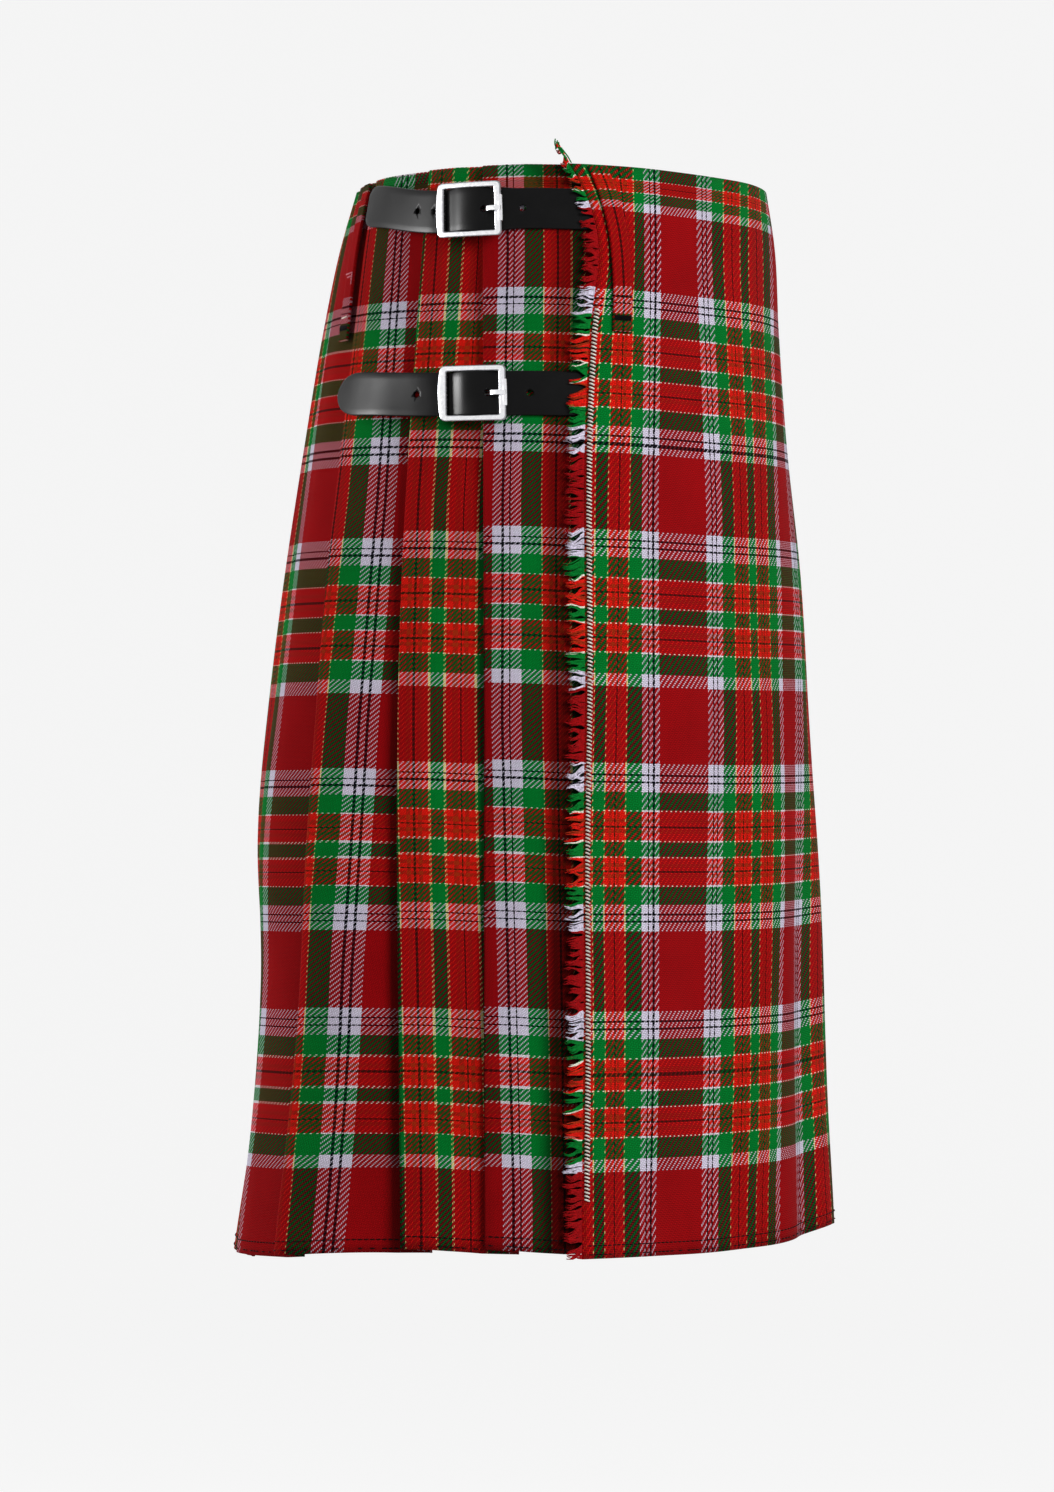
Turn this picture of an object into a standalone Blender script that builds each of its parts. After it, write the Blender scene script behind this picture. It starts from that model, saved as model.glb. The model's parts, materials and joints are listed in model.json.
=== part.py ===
"""A tartan kilt as it hangs when worn: two aprons, knife pleats, fringe, belt loops, straps and buckles.

Metres, +Z up. The wearer faces +X and their left is +Y. The origin is the middle of the waist opening.
Cloth is a wall that follows the same ring at every height. A place on that ring is a distance
along it from the front centre, by the right hip, the back and the left hip, and a distance out from it.
"""

import math
from functools import lru_cache

import bmesh
import bpy
import numpy as np
from mathutils import Vector

# Cloth
DROP = 0.613  # waist edge to hem, down the cloth
CLOTH = 0.0012  # one thickness
LAYER_WAIST = 0.0018  # from the middle of one folded layer to the next
LAYER_HEM = 0.0027
SEAM_GAP = 0.0003
ROWS = (0.0, 0.018, 0.040, 0.070, 0.110, 0.180, 0.270, 0.360, 0.450, 0.535, DROP)  # down the cloth
HEM_SWING = [
    # forward, how much higher the hem hangs than at the sides
    (-0.190, -0.0050),
    (-0.140, 0.0005),
    (0.014, 0.0015),
    (0.100, 0.0012),
    (0.130, 0.0040),
    (0.158, 0.0105),
]
PLEAT_LIFT = 0.0040  # how much higher the pleats' hem hangs than the apron's
HEM_STAGGER = 0.0025  # a pleat's hidden edge hangs this much lower than its fold

# The ring that the cloth hangs on, at each height
SECTIONS = [
    # down, front reach, back reach, half width, share of the hem plan
    (0.000, 0.1180, 0.1160, 0.1485, 0.00),
    (0.030, 0.1225, 0.1245, 0.1540, 0.05),
    (0.080, 0.1250, 0.1347, 0.1600, 0.15),
    (0.150, 0.1298, 0.1455, 0.1675, 0.35),
    (0.225, 0.1377, 0.1550, 0.1740, 0.60),
    (0.300, 0.1427, 0.1622, 0.1785, 0.80),
    (0.380, 0.1470, 0.1680, 0.1810, 0.92),
    (0.460, 0.1504, 0.1658, 0.1825, 1.00),
    (0.540, 0.1538, 0.1700, 0.1845, 1.00),
    (0.613, 0.1577, 0.1804, 0.1870, 1.00),
]

# The ring's plan, from the front centre to the back centre, as shares of its reach and half width
PLAN = [
    # waist forward, waist out, hem forward, hem out
    (1.00, 0.00, 1.00, 0.00),
    (0.92, 0.34, 0.89, 0.27),
    (0.62, 0.68, 0.60, 0.53),
    (0.28, 0.91, 0.25, 0.83),
    (-0.05, 1.00, -0.02, 0.99),
    (-0.40, 0.92, -0.40, 1.00),
    (-0.74, 0.69, -0.80, 0.96),
    (-0.93, 0.36, -0.95, 0.72),
    (-1.00, 0.00, -1.00, 0.00),
]
RING_STEPS = 480
WAY_REACH = 0.002  # the stretch of ring on each side that gives its direction

# Knife pleats, from the right hip round the back to the left hip
FIRST_FOLD_X = -0.043
LAST_FOLD_X = 0.014
SEAM_BEFORE_EDGE = 0.030  # the under apron is seamed to the pleats this far ahead of the apron's edge
PLEATS = [
    # waist width, hem width, taken in at the hip, depth of the hidden fold
    (0.0360, 0.0470, -0.004, 0.0170),
    (0.0575, 0.0660, 0.017, 0.0120),
    (0.0375, 0.0600, 0.000, 0.0180),
    (0.0385, 0.0625, 0.000, 0.0170),
    (0.0365, 0.0595, 0.000, 0.0185),
    (0.0380, 0.0620, 0.000, 0.0175),
    (0.0370, 0.0600, 0.000, 0.0180),
    (0.0385, 0.0630, 0.000, 0.0170),
    (0.0370, 0.0595, 0.000, 0.0185),
    (0.0380, 0.0615, 0.000, 0.0175),
]
FIXED_PLEATS = 2  # the first rows keep their own widths, and the rest share what is left
FIRST_DEPTH = 0.0180
RISE_PAST_EDGE = 0.012  # the first panel starts to rise over its hidden fold this far past the apron's edge
RISE_PAST_FOLD = 0.002
JOIN_PAST_FOLD = 0.006  # how far past a hidden fold one length of cloth is joined to the next
LENGTHS_OF_CLOTH = {"pleats_right": (0, 4), "pleats_back": (4, 8), "pleats_left": (8, 11)}

# Over apron: its free edge, by how far forward it stands
APRON_EDGE = [
    # down, forward
    (0.000, 0.0045),
    (0.013, 0.0115),
    (0.030, 0.0180),
    (0.050, 0.0210),
    (0.070, 0.0195),
    (0.092, 0.0168),
    (0.120, 0.0150),
    (0.300, 0.0130),
    (0.613, 0.0110),
]
APRON_COLUMNS = 32
EDGE_LIFT_WAIST = 0.0032  # room for the straps under the free edge
EDGE_LIFT_HEM = 0.0008
EDGE_LIFT_REACH = 0.075
EDGE_LIFT_FROM = 0.150  # the lift dies away over this stretch down the cloth
EDGE_LIFT_TO = 0.300
UNDER_COLUMNS = 22
UNDER_STOPS_SHORT = 0.042  # the under apron ends this far ahead of the last pleat

# Soft folds that hang in both aprons
APRON_FOLDS = [
    # ring distance ahead of the free edge, half width, depth inward, starts this far down
    (0.188, 0.017, 0.0070, 0.26),
    (0.150, 0.020, -0.0025, 0.30),
    (0.330, 0.022, 0.0050, 0.30),
    (0.290, 0.024, -0.0020, 0.34),
]

# Fringe
FRINGE_GAP = 0.0008
FRINGE_STRIP = 0.0030
FRINGE_LENGTH = 0.0090
FRINGE_THICK = 0.0011
STRANDS = 112
STRAND_ROOT = 0.56  # share of a strand's spacing
STRAND_TIP = 0.22
FRINGE_CORNER_UP = 0.0120  # the strip's top corner stands above the waist
FRINGE_CORNER_BACK = 0.0080
FRINGE_WIDTHS = [
    # down, share of the full width
    (-0.0120, 0.12),
    (0.0000, 0.50),
    (0.0300, 0.72),
    (0.0750, 1.00),
    (0.6130, 1.00),
]

# Belt loops of the same cloth
LOOP_WIDTH = 0.0110
LOOP_LENGTH = 0.0930
LOOP_TOP = 0.0010
LOOP_THICK = 0.0016
LOOP_BOW = 0.0008
LOOP_EASE = 0.4  # share of the bow that is left at its sewn ends
LOOP_ROWS = 7
LOOP_ACROSS = (-0.50, -0.17, 0.17, 0.50)
LOOP_LINE = [
    # down, forward: the loop beside the over apron's free edge
    (0.000, 0.0165),
    (0.010, 0.0205),
    (0.032, 0.0265),
    (0.065, 0.0298),
    (0.095, 0.0298),
]
LOOPS = [
    # name, what it lies on, distance past that place
    ("loop_right_apron", "apron line", 0.0000),
    ("loop_right_back", "fold 2", 0.0100),
    ("loop_left_apron", "apron start", 0.0700),
    ("loop_left_back", "fold 6", -0.0100),
]

# Straps, by distance ahead of the buckle's middle and out from the ring
STRAP_WIDTH = 0.0250
STRAP_THICK = 0.0024
STRAP_STEP = 0.0080  # between the stations along a strap
STRAP_ACROSS = (1.0, 0.34, -0.34, -1.0)
STRAPS = [
    # name, side, down, buckle forward, tip forward, tip rise, length of the rounded tip
    ("upper", 1, 0.0255, -0.0475, -0.1055, 0.0090, 0.009),
    ("lower", 1, 0.1300, -0.0470, -0.1210, 0.0035, 0.020),
    ("left", -1, 0.0300, -0.0475, -0.0930, 0.0060, 0.012),
]
STRAP_COURSE = [
    # ahead, middle of the leather
    (0.0800, 0.0022),
    (0.0580, 0.0022),
    (0.0460, 0.0029),
    (0.0360, 0.0046),
    (0.0280, 0.0058),
    (0.0220, 0.0063),
]
LEFT_STRAP_COURSE = [
    # ahead, middle of the leather: it comes out from inside, through a slit in the apron
    (0.1032, -0.0006),
    (0.0940, -0.0015),
    (0.0870, -0.0017),
    (0.0820, -0.0009),
    (0.0680, 0.0038),
    (0.0635, 0.0058),
    (0.0580, 0.0063),
    (0.0400, 0.0063),
    (0.0220, 0.0063),
]
COURSE_THROUGH_BUCKLE = [
    # ahead, middle of the leather: under an end bar, over the pin bar, under the other and on to the tip
    (0.0168, 0.0070),
    (0.0110, 0.0090),
    (0.0055, 0.0115),
    (0.0000, 0.0124),
    (-0.0055, 0.0117),
    (-0.0110, 0.0094),
    (-0.0168, 0.0079),
    (-0.0240, 0.0079),
    (-0.0310, 0.0076),
    (-0.0420, 0.0068),
    (-0.0950, 0.0066),
]
STRAP_ROOT_UNDER = 0.0140  # how far a strap reaches in under the apron's edge
STRAP_ROOT_GAP = 0.0009  # between the left strap's root and the edge it is sewn to
STATION_GAP = 0.0020  # the least between a strap's end and its next station
TIP_STATIONS = (1.0, 0.6, 0.3, 0.1, 0.0)  # shares of the rounded tip
NARROWEST_TIP = 0.30
SLIT = (0.0705, 0.0850)  # ahead of the left buckle
SLIT_DEPTH = (-0.0030, 0.0060)
SLIT_CLEAR = 0.0005

# Buckles
FRAME_LONG = 0.0338  # between the middles of the end bars
FRAME_TALL = 0.0292
FRAME_CORNER = 0.0036
FRAME_BAR = 0.0015
FRAME_END_SWELL = 1.6
FRAME_OUT = 0.0111
PIN_BAR = 0.0012
PIN_OUT = 0.0076
PIN_COURSE = [
    # up, out: from the frame's side down to the pin bar's own level, and the same below
    (0.0146, 0.0105),
    (0.0120, 0.0076),
    (-0.0120, 0.0076),
    (-0.0146, 0.0105),
]
PRONG = 0.0009
PRONG_EYE = 0.0025
PRONG_CLEAR = 0.0004
PRONG_COURSE = [
    # ahead, out: from under the pin bar, up through the strap and over the end bar
    (0.0020, 0.0051),
    (0.0052, 0.0063),
    (0.0082, 0.0086),
    (0.0108, 0.0126),
    (0.0135, 0.0138),
    (0.0184, 0.0138),
]
CHAPE_CLEAR = 0.0003
CHAPE_THICK = 0.0012
CHAPE_WIDTH = 0.0200
CHAPE_TAB = (-0.0078, -0.0128, -0.0178, -0.0226)  # places along it, ahead
CHAPE_SLOT = 0.0060
CHAPE_SLOT_ENDS = (-0.0037, 0.0067)
CHAPE_SLOT_TOP = 0.0200


def through(knots, values, at):
    """A smooth curve through the values at the knots, read at the places asked for."""
    knots = np.asarray(knots, float)
    values = np.asarray(values, float)
    at = np.asarray(at, float)
    slopes = np.gradient(values, knots, axis=0)
    i = np.clip(np.searchsorted(knots, at) - 1, 0, len(knots) - 2)
    span = knots[i + 1] - knots[i]
    t = np.clip((at - knots[i]) / span, 0.0, 1.0)
    if values.ndim == 2:
        t = t[:, None]
        span = span[:, None]
    from_value = (2 * t**3 - 3 * t**2 + 1) * values[i] + (t**3 - 2 * t**2 + t) * span * slopes[i]
    to_value = (3 * t**2 - 2 * t**3) * values[i + 1] + (t**3 - t**2) * span * slopes[i + 1]
    return from_value + to_value


def ease(t):
    """0 before 0, 1 after 1, and smooth between."""
    t = min(max(t, 0.0), 1.0)
    return t * t * (3 - 2 * t)


def hump(distance, half_width):
    return math.exp(-((distance / half_width) ** 2))


@lru_cache(maxsize=None)
def ring(down):
    """The ring at one height: its points from the front centre, and the distance along it to each."""
    sections = np.array(SECTIONS)
    front, back, width, hem_share = through(sections[:, 0], sections[:, 1:], [down])[0]
    plan = np.array(PLAN)
    half = plan[:, :2] * (1 - hem_share) + plan[:, 2:] * hem_share
    half[:, 0] *= np.where(half[:, 0] > 0, front, back)
    half[:, 1] *= -width
    other_half = half[-2:0:-1] * (1, -1)
    loop = np.vstack([half, other_half])
    wrapped = np.vstack([loop[-3:], loop, loop[:4]])
    steps = np.linalg.norm(np.diff(wrapped, axis=0), axis=1)
    knots = np.concatenate([[0.0], np.cumsum(steps)])
    places = np.linspace(knots[3], knots[3 + len(loop)], RING_STEPS + 1)
    points = through(knots, wrapped, places)
    along = np.concatenate([[0.0], np.cumsum(np.linalg.norm(np.diff(points, axis=0), axis=1))])
    return points, along


def length_round(down):
    return ring(down)[1][-1]


def hang(down, x):
    """The height of a point this far down the cloth."""
    forward, higher = np.array(HEM_SWING).T
    return -down + np.interp(x, forward, higher) * (down / DROP) ** 2


def on_ring(down, distance, out):
    """A point at a distance round the ring and a distance out from it, with the way on and the way out."""
    points, along = ring(down)

    def spot_at(place):
        return np.array([np.interp(place % along[-1], along, points[:, axis]) for axis in (0, 1)])

    spot = spot_at(distance)
    way = spot_at(distance + WAY_REACH) - spot_at(distance - WAY_REACH)
    way /= np.linalg.norm(way)
    outward = np.array([way[1], -way[0]])
    if np.dot(outward, spot) < 0:
        outward = -outward
    spot = spot + outward * out
    return Vector((spot[0], spot[1], hang(down, spot[0]))), Vector((*way, 0.0)), Vector((*outward, 0.0))


def distance_at(down, forward, side=1):
    """How far round the ring its right (1) or left (-1) side stands this far forward."""
    points, along = ring(down)
    half = RING_STEPS // 2
    right = np.interp(-forward, -points[: half + 1, 0], along[: half + 1])
    return right if side > 0 else along[-1] - right


def between_rows(place, down):
    """Where the straight cloth between two rows is, from a function that gives the place at a row."""
    below = min(max(np.searchsorted(ROWS, down), 1), len(ROWS) - 1)
    share = (down - ROWS[below - 1]) / (ROWS[below] - ROWS[below - 1])
    return place(ROWS[below - 1]).lerp(place(ROWS[below]), share)


def apron_edge(down):
    edge = np.array(APRON_EDGE)
    return distance_at(down, float(through(edge[:, 0], edge[:, 1], [down])[0]))


def layer(down):
    return LAYER_WAIST + (LAYER_HEM - LAYER_WAIST) * down / DROP


def folds(down):
    """The distance round the ring of each fold's outer edge, and the depth of its hidden fold."""
    widths = np.array(PLEATS)
    spread = (length_round(down) - length_round(0.0)) / (length_round(DROP) - length_round(0.0))
    pitch = widths[:, 0] * (1 - spread) + widths[:, 1] * spread
    pitch -= widths[:, 2] * math.sin(math.pi * down / DROP)
    first = distance_at(down, FIRST_FOLD_X)
    last = distance_at(down, LAST_FOLD_X, side=-1)
    fixed = pitch[:FIXED_PLEATS].sum()
    pitch[FIXED_PLEATS:] *= (last - first - fixed) / pitch[FIXED_PLEATS:].sum()
    edges = first + np.concatenate([[0.0], np.cumsum(pitch)])
    depths = np.concatenate([[FIRST_DEPTH], widths[:, 3]])
    return edges, depths


def pleat_course(down, first, last):
    """One row of the folded cloth from one pleat to another: distance, out and how far across its panel."""
    edges, depths = folds(down)
    gap = layer(down)
    bend = gap / 2
    course = []
    for k in range(first, last):
        edge = edges[k]
        hidden = edge - depths[k]
        if k == 0:
            start = apron_edge(down) - SEAM_BEFORE_EDGE + SEAM_GAP
            rise_from = apron_edge(down) + RISE_PAST_EDGE
            flat = [start, (start + rise_from) / 2, rise_from]
        else:
            start = edges[k - 1] - depths[k - 1] + bend + JOIN_PAST_FOLD
            rise_from = edges[k - 1] + RISE_PAST_FOLD
            flat = [start, rise_from] if k == first else [rise_from]
        top = edge - bend
        for distance in flat:
            course.append((distance, 0.0, 0.0))
        for share in (0.3, 0.6, 1.0):
            distance = rise_from + (hidden - rise_from) * share
            course.append((distance, 2 * gap * ease(share), share * 0.8))
        for angle in (90, 30, -30, -90):
            turn = math.radians(angle)
            course.append((top + bend * math.cos(turn), 1.5 * gap + bend * math.sin(turn), 1.0))
        for angle in (90, 150, 210, 270):
            turn = math.radians(angle)
            distance = hidden + bend + bend * math.cos(turn)
            course.append((distance, 0.5 * gap + bend * math.sin(turn), 0.35 if angle < 180 else 0.0))
        if k == last - 1:
            course.append((hidden + bend + JOIN_PAST_FOLD - SEAM_GAP, 0.0, 0.0))
    return course


def apron_fold(down, ahead_of_edge):
    """How far the aprons' soft folds push the cloth in or out."""
    push = 0.0
    for place, half_width, depth, start in APRON_FOLDS:
        grown = ease((down - start) / (DROP - start))
        push -= depth * grown * hump(ahead_of_edge - place, half_width)
    return push


def over_apron_out(down, distance):
    """How far out the over apron lies. Its distances are below 0 to the left of the front centre."""
    edges, depths = folds(down)
    last_fold = edges[-1] - length_round(down)
    to_edge = apron_edge(down) - distance
    dying = ease((down - EDGE_LIFT_FROM) / (EDGE_LIFT_TO - EDGE_LIFT_FROM))
    lift = EDGE_LIFT_WAIST + (EDGE_LIFT_HEM - EDGE_LIFT_WAIST) * dying
    rise = ease((distance - last_fold) / UNDER_STOPS_SHORT)
    return layer(down) * rise + lift * ease(1 - to_edge / EDGE_LIFT_REACH) + apron_fold(down, to_edge)


def mesh_object(name, points, faces, material):
    mesh = bpy.data.meshes.new(name)
    mesh.from_pydata([tuple(point) for point in points], [], faces)
    mesh.materials.append(material)
    mesh.validate()
    obj = bpy.data.objects.new(name, mesh)
    KILT.objects.link(obj)
    return obj


def sheet(name, rows, thickness, material, smooth=True):
    """A wall of even thickness on a grid of points, rows from the top down."""
    across = len(rows[0])
    points = [point for row in rows for point in row]
    faces = []
    for r in range(len(rows) - 1):
        for c in range(across - 1):
            a = r * across + c
            faces.append((a, a + 1, a + across + 1, a + across))
    obj = mesh_object(name, points, faces, material)
    thicken(obj, thickness)
    if smooth:
        obj.data.shade_smooth()
    return obj


def thicken(obj, thickness):
    solidify = obj.modifiers.new("Cloth thickness", "SOLIDIFY")
    solidify.thickness = thickness
    solidify.offset = 0.0
    solidify.use_even_offset = True
    return solidify


def finish(name, colour, roughness, metallic=0.0):
    material = bpy.data.materials.new(name)
    material.use_nodes = True
    shader = material.node_tree.nodes["Principled BSDF"]
    shader.inputs["Base Color"].default_value = (*colour, 1.0)
    shader.inputs["Roughness"].default_value = roughness
    shader.inputs["Metallic"].default_value = metallic
    return material


def make_pleats():
    """The pleated cloth, in the lengths that are joined inside its hidden folds."""
    for name, (first, last) in LENGTHS_OF_CLOTH.items():
        rows = []
        for down in ROWS:
            row = []
            for distance, out, across in pleat_course(down, first, last):
                point = on_ring(down, distance, out)[0]
                point.z += HEM_STAGGER * (across - 0.5) * down / DROP
                point.z += PLEAT_LIFT * (down / DROP) ** 2
                row.append(point)
            rows.append(row)
        sheet(name, rows, CLOTH, TARTAN)


def make_over_apron():
    rows = []
    for down in ROWS:
        edges, depths = folds(down)
        start = edges[-1] - depths[-1] + layer(down) / 2 + JOIN_PAST_FOLD - length_round(down)
        places = np.linspace(start, apron_edge(down), APRON_COLUMNS)
        rows.append([on_ring(down, d, over_apron_out(down, d))[0] for d in places])
    return sheet("over_apron", rows, CLOTH, TARTAN)


def make_under_apron():
    rows = []
    for down in ROWS:
        edge = apron_edge(down)
        start = folds(down)[0][-1] + UNDER_STOPS_SHORT - length_round(down)
        places = np.linspace(start, edge - SEAM_BEFORE_EDGE - SEAM_GAP, UNDER_COLUMNS)
        rows.append([on_ring(down, d, apron_fold(down, edge - d))[0] for d in places])
    return sheet("under_apron", rows, CLOTH, TARTAN)


def fringe_point(down, past_edge):
    """A point of the fringe, past the apron's edge. Above the waist it leans back to its top corner."""

    def at_row(row):
        edge = apron_edge(row)
        return on_ring(row, edge + past_edge, over_apron_out(row, edge))[0]

    point = between_rows(at_row, max(down, 0.0))
    if down < 0:
        point.x += FRINGE_CORNER_BACK * down / FRINGE_CORNER_UP
        point.z -= down
    return point


def make_fringe():
    """A narrow strip along the apron's edge with tapered strands on it, in one comb-shaped wall."""
    widths = np.array(FRINGE_WIDTHS)
    spacing = (DROP + FRINGE_CORNER_UP) / STRANDS
    roots = []
    for n in range(STRANDS):
        middle = (n + 0.5) * spacing - FRINGE_CORNER_UP
        roots += [middle - spacing * STRAND_ROOT / 2, middle + spacing * STRAND_ROOT / 2]
    levels = [-FRINGE_CORNER_UP, *roots, DROP]
    shares = np.interp(levels, widths[:, 0], widths[:, 1])
    points = []
    for down, share in zip(levels, shares):
        points.append(fringe_point(down, FRINGE_GAP))
        points.append(fringe_point(down, FRINGE_GAP + FRINGE_STRIP * share))
    faces = [(2 * i, 2 * i + 2, 2 * i + 3, 2 * i + 1) for i in range(len(levels) - 1)]
    for n in range(STRANDS):
        upper = 2 * n + 1
        past = FRINGE_GAP + FRINGE_STRIP * shares[upper]
        past += FRINGE_LENGTH * shares[upper] * (0.90 + 0.10 * math.sin(2.3 * n))
        tip_half = spacing * STRAND_TIP / 2
        tip = (levels[upper] + levels[upper + 1]) / 2 + spacing * 0.3 * math.sin(1.7 * n + 0.6)
        tip = min(tip, DROP - 2 * tip_half)
        faces.append((2 * upper + 1, 2 * upper + 3, len(points) + 1, len(points)))
        points.append(fringe_point(tip - tip_half, past))
        points.append(fringe_point(tip + tip_half, past))
    thicken(mesh_object("apron_fringe", points, faces, FRAYED), FRINGE_THICK)


def loop_course(lies_on, past, down):
    """The middle of a belt loop at one height: its distance round the ring, and how far out it lies."""
    edges, _ = folds(down)
    if lies_on == "apron line":
        line = np.array(LOOP_LINE)
        distance = distance_at(down, float(through(line[:, 0], line[:, 1], [down])[0])) + past
        return distance, over_apron_out(down, distance)
    if lies_on == "apron start":
        distance = edges[-1] - length_round(down) + past
        return distance, over_apron_out(down, distance)
    fold = int(lies_on.split()[1])
    return edges[fold] + past, 2 * layer(down)


def make_loops():
    """Flat belt loops, sewn down at the waist edge and at their lower ends."""
    on_cloth = CLOTH / 2 + SEAM_GAP + LOOP_THICK / 2
    for name, lies_on, past in LOOPS:
        rows = []
        for share in np.linspace(0.0, 1.0, LOOP_ROWS):
            down = LOOP_TOP + LOOP_LENGTH * share
            out = on_cloth + LOOP_BOW * (LOOP_EASE + math.sin(math.pi * share))
            row_points = []
            for across in LOOP_ACROSS:

                def at_row(row):
                    middle, cloth_out = loop_course(lies_on, past, row)
                    return on_ring(row, middle + LOOP_WIDTH * across, cloth_out + out)[0]

                row_points.append(between_rows(at_row, down))
            rows.append(row_points)
        sheet(name, rows, LOOP_THICK, TARTAN)


class Fastening:
    """The place of a strap and its buckle. Its points are ahead of the buckle, up, and out of the ring."""

    def __init__(self, name, side, down, buckle_forward):
        self.name = name
        self.side = side
        self.down = down
        self.forward = buckle_forward

    def middle(self, down):
        return distance_at(down, self.forward, self.side)

    def point(self, ahead, up, out):
        def at_row(row):
            return on_ring(row, self.middle(row) - ahead * self.side, out)[0]

        return between_rows(at_row, self.down - up)

    def points(self, places):
        return [self.point(*place) for place in places]

    def ahead_of(self, distance):
        """How far ahead of the buckle a distance round the ring is."""
        return (self.middle(self.down) - distance) * self.side


def tip_width(from_tip, tip_length):
    """How wide a strap is this far from the end of its rounded tip."""
    if from_tip >= tip_length:
        return 1.0
    return max(NARROWEST_TIP, math.sqrt(1 - (1 - from_tip / tip_length) ** 2))


def make_strap(place, tip_forward, tip_rise, tip_length):
    """A bridle leather strap along its course, narrowing to a rounded tip."""
    tip = place.ahead_of(distance_at(place.down, tip_forward, place.side))
    if place.side > 0:
        root = place.ahead_of(apron_edge(place.down) - STRAP_ROOT_UNDER)
        start = STRAP_COURSE
    else:
        root = place.ahead_of(folds(place.down)[0][-1] + UNDER_STOPS_SHORT - STRAP_ROOT_GAP)
        start = LEFT_STRAP_COURSE
    course = np.array(sorted(start + COURSE_THROUGH_BUCKLE))
    stations = {root, *(tip + tip_length * share for share in TIP_STATIONS)}
    regular = np.arange(tip + tip_length + STRAP_STEP, root, STRAP_STEP)
    known = list(course[:, 0])
    between = [float(row) for row in regular if min(abs(row - knot) for knot in known) > STRAP_STEP / 2]
    first_free = tip + tip_length + STATION_GAP
    stations |= {row for row in known + between if first_free < row < root - STATION_GAP}
    past_buckle = -FRAME_LONG / 2
    rows = []
    for ahead in sorted(stations, reverse=True):
        out = float(through(course[:, 0], course[:, 1], [ahead])[0])
        half = STRAP_WIDTH / 2 * tip_width(ahead - tip, tip_length)
        rise = tip_rise * ease((past_buckle - ahead) / (past_buckle - tip))
        rows.append(place.points([(ahead, rise + half * up, out) for up in STRAP_ACROSS]))
    return sheet("strap_" + place.name, rows, STRAP_THICK, LEATHER)


def tube(name, points, radius, closed=False, swells=None):
    """A round bar along the points, as a mesh with its caps welded."""
    curve = bpy.data.curves.new(name, "CURVE")
    curve.dimensions = "3D"
    curve.bevel_depth = radius
    curve.bevel_resolution = 2
    curve.use_fill_caps = True
    spline = curve.splines.new("POLY")
    spline.points.add(len(points) - 1)
    for i, point in enumerate(points):
        spline.points[i].co = (*point, 1.0)
        spline.points[i].radius = swells[i] if swells else 1.0
    spline.use_cyclic_u = closed
    guide = bpy.data.objects.new(name + "_guide", curve)
    KILT.objects.link(guide)
    graph = bpy.context.evaluated_depsgraph_get()
    mesh = bpy.data.meshes.new_from_object(guide.evaluated_get(graph))
    bpy.data.objects.remove(guide)
    shape = bmesh.new()
    shape.from_mesh(mesh)
    bmesh.ops.remove_doubles(shape, verts=shape.verts, dist=0.000001)
    shape.to_mesh(mesh)
    shape.free()
    obj = bpy.data.objects.new(name, mesh)
    KILT.objects.link(obj)
    return obj


def extruded(name, place, profile, width, material):
    """A closed outline of places ahead and out, drawn across the strap's width."""
    points = place.points([(ahead, up, out) for up in (-width / 2, width / 2) for ahead, out in profile])
    count = len(profile)
    faces = [tuple(range(count)), tuple(range(2 * count - 1, count - 1, -1))]
    faces += [(i, i + count, (i + 1) % count + count, (i + 1) % count) for i in range(count)]
    obj = mesh_object(name, points, faces, material)
    shape = bmesh.new()
    shape.from_mesh(obj.data)
    bmesh.ops.recalc_face_normals(shape, faces=shape.faces)
    shape.to_mesh(obj.data)
    shape.free()
    return obj


def combine(obj, other, operation):
    """Joins or cuts one object with another, which becomes a hidden helper."""
    other.hide_render = True
    other.display_type = "WIRE"
    KILT.objects.unlink(other)
    CUTTERS.objects.link(other)
    boolean = obj.modifiers.new(operation.title(), "BOOLEAN")
    boolean.operation = operation
    boolean.object = other


def make_frame(place):
    """A nickel frame, thicker in the middle of its far end, with the pin bar across it."""
    long = FRAME_LONG / 2
    tall = FRAME_TALL / 2
    outline = []
    swells = []
    for toward, up, start in ((1, 1, 0), (-1, 1, 90), (-1, -1, 180), (1, -1, 270)):
        for turn in (0, 30, 60, 90):
            angle = math.radians(start + turn)
            ahead = toward * (long - FRAME_CORNER) + FRAME_CORNER * math.cos(angle)
            height = up * (tall - FRAME_CORNER) + FRAME_CORNER * math.sin(angle)
            outline.append((ahead, height, FRAME_OUT))
            swells.append(1.0)
        if (toward, up) == (-1, 1):
            for share in (0.5, 0.0, -0.5):
                swell = 1 + (FRAME_END_SWELL - 1) * (1 - share * share)
                outline.append((-long, share * (tall - FRAME_CORNER), FRAME_OUT + (swell - 1) * FRAME_BAR))
                swells.append(swell)
    frame = tube("buckle_" + place.name, place.points(outline), FRAME_BAR, True, swells)
    across = place.points([(0.0, up, out) for up, out in PIN_COURSE])
    pin = tube("pin_bar_" + place.name, across, PIN_BAR)
    combine(frame, pin, "UNION")
    frame.data.materials.append(NICKEL)
    frame.data.shade_smooth()


def make_prong(place, strap):
    """The prong turns on the pin bar, comes up through the strap and rests on the end bar."""
    eye = []
    for angle in (0, 50, 100, 150, 200, 245):
        turn = math.radians(angle)
        eye.append((PRONG_EYE * math.cos(turn), 0.0, PIN_OUT + PRONG_EYE * math.sin(turn)))
    bar = [(ahead, 0.0, out) for ahead, out in PRONG_COURSE]
    prong = tube("prong_" + place.name, place.points(eye + bar), PRONG)
    prong.data.materials.append(NICKEL)
    prong.data.shade_smooth()
    combine(strap, tube("prong_hole_" + place.name, place.points(bar), PRONG + PRONG_CLEAR), "DIFFERENCE")


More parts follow.
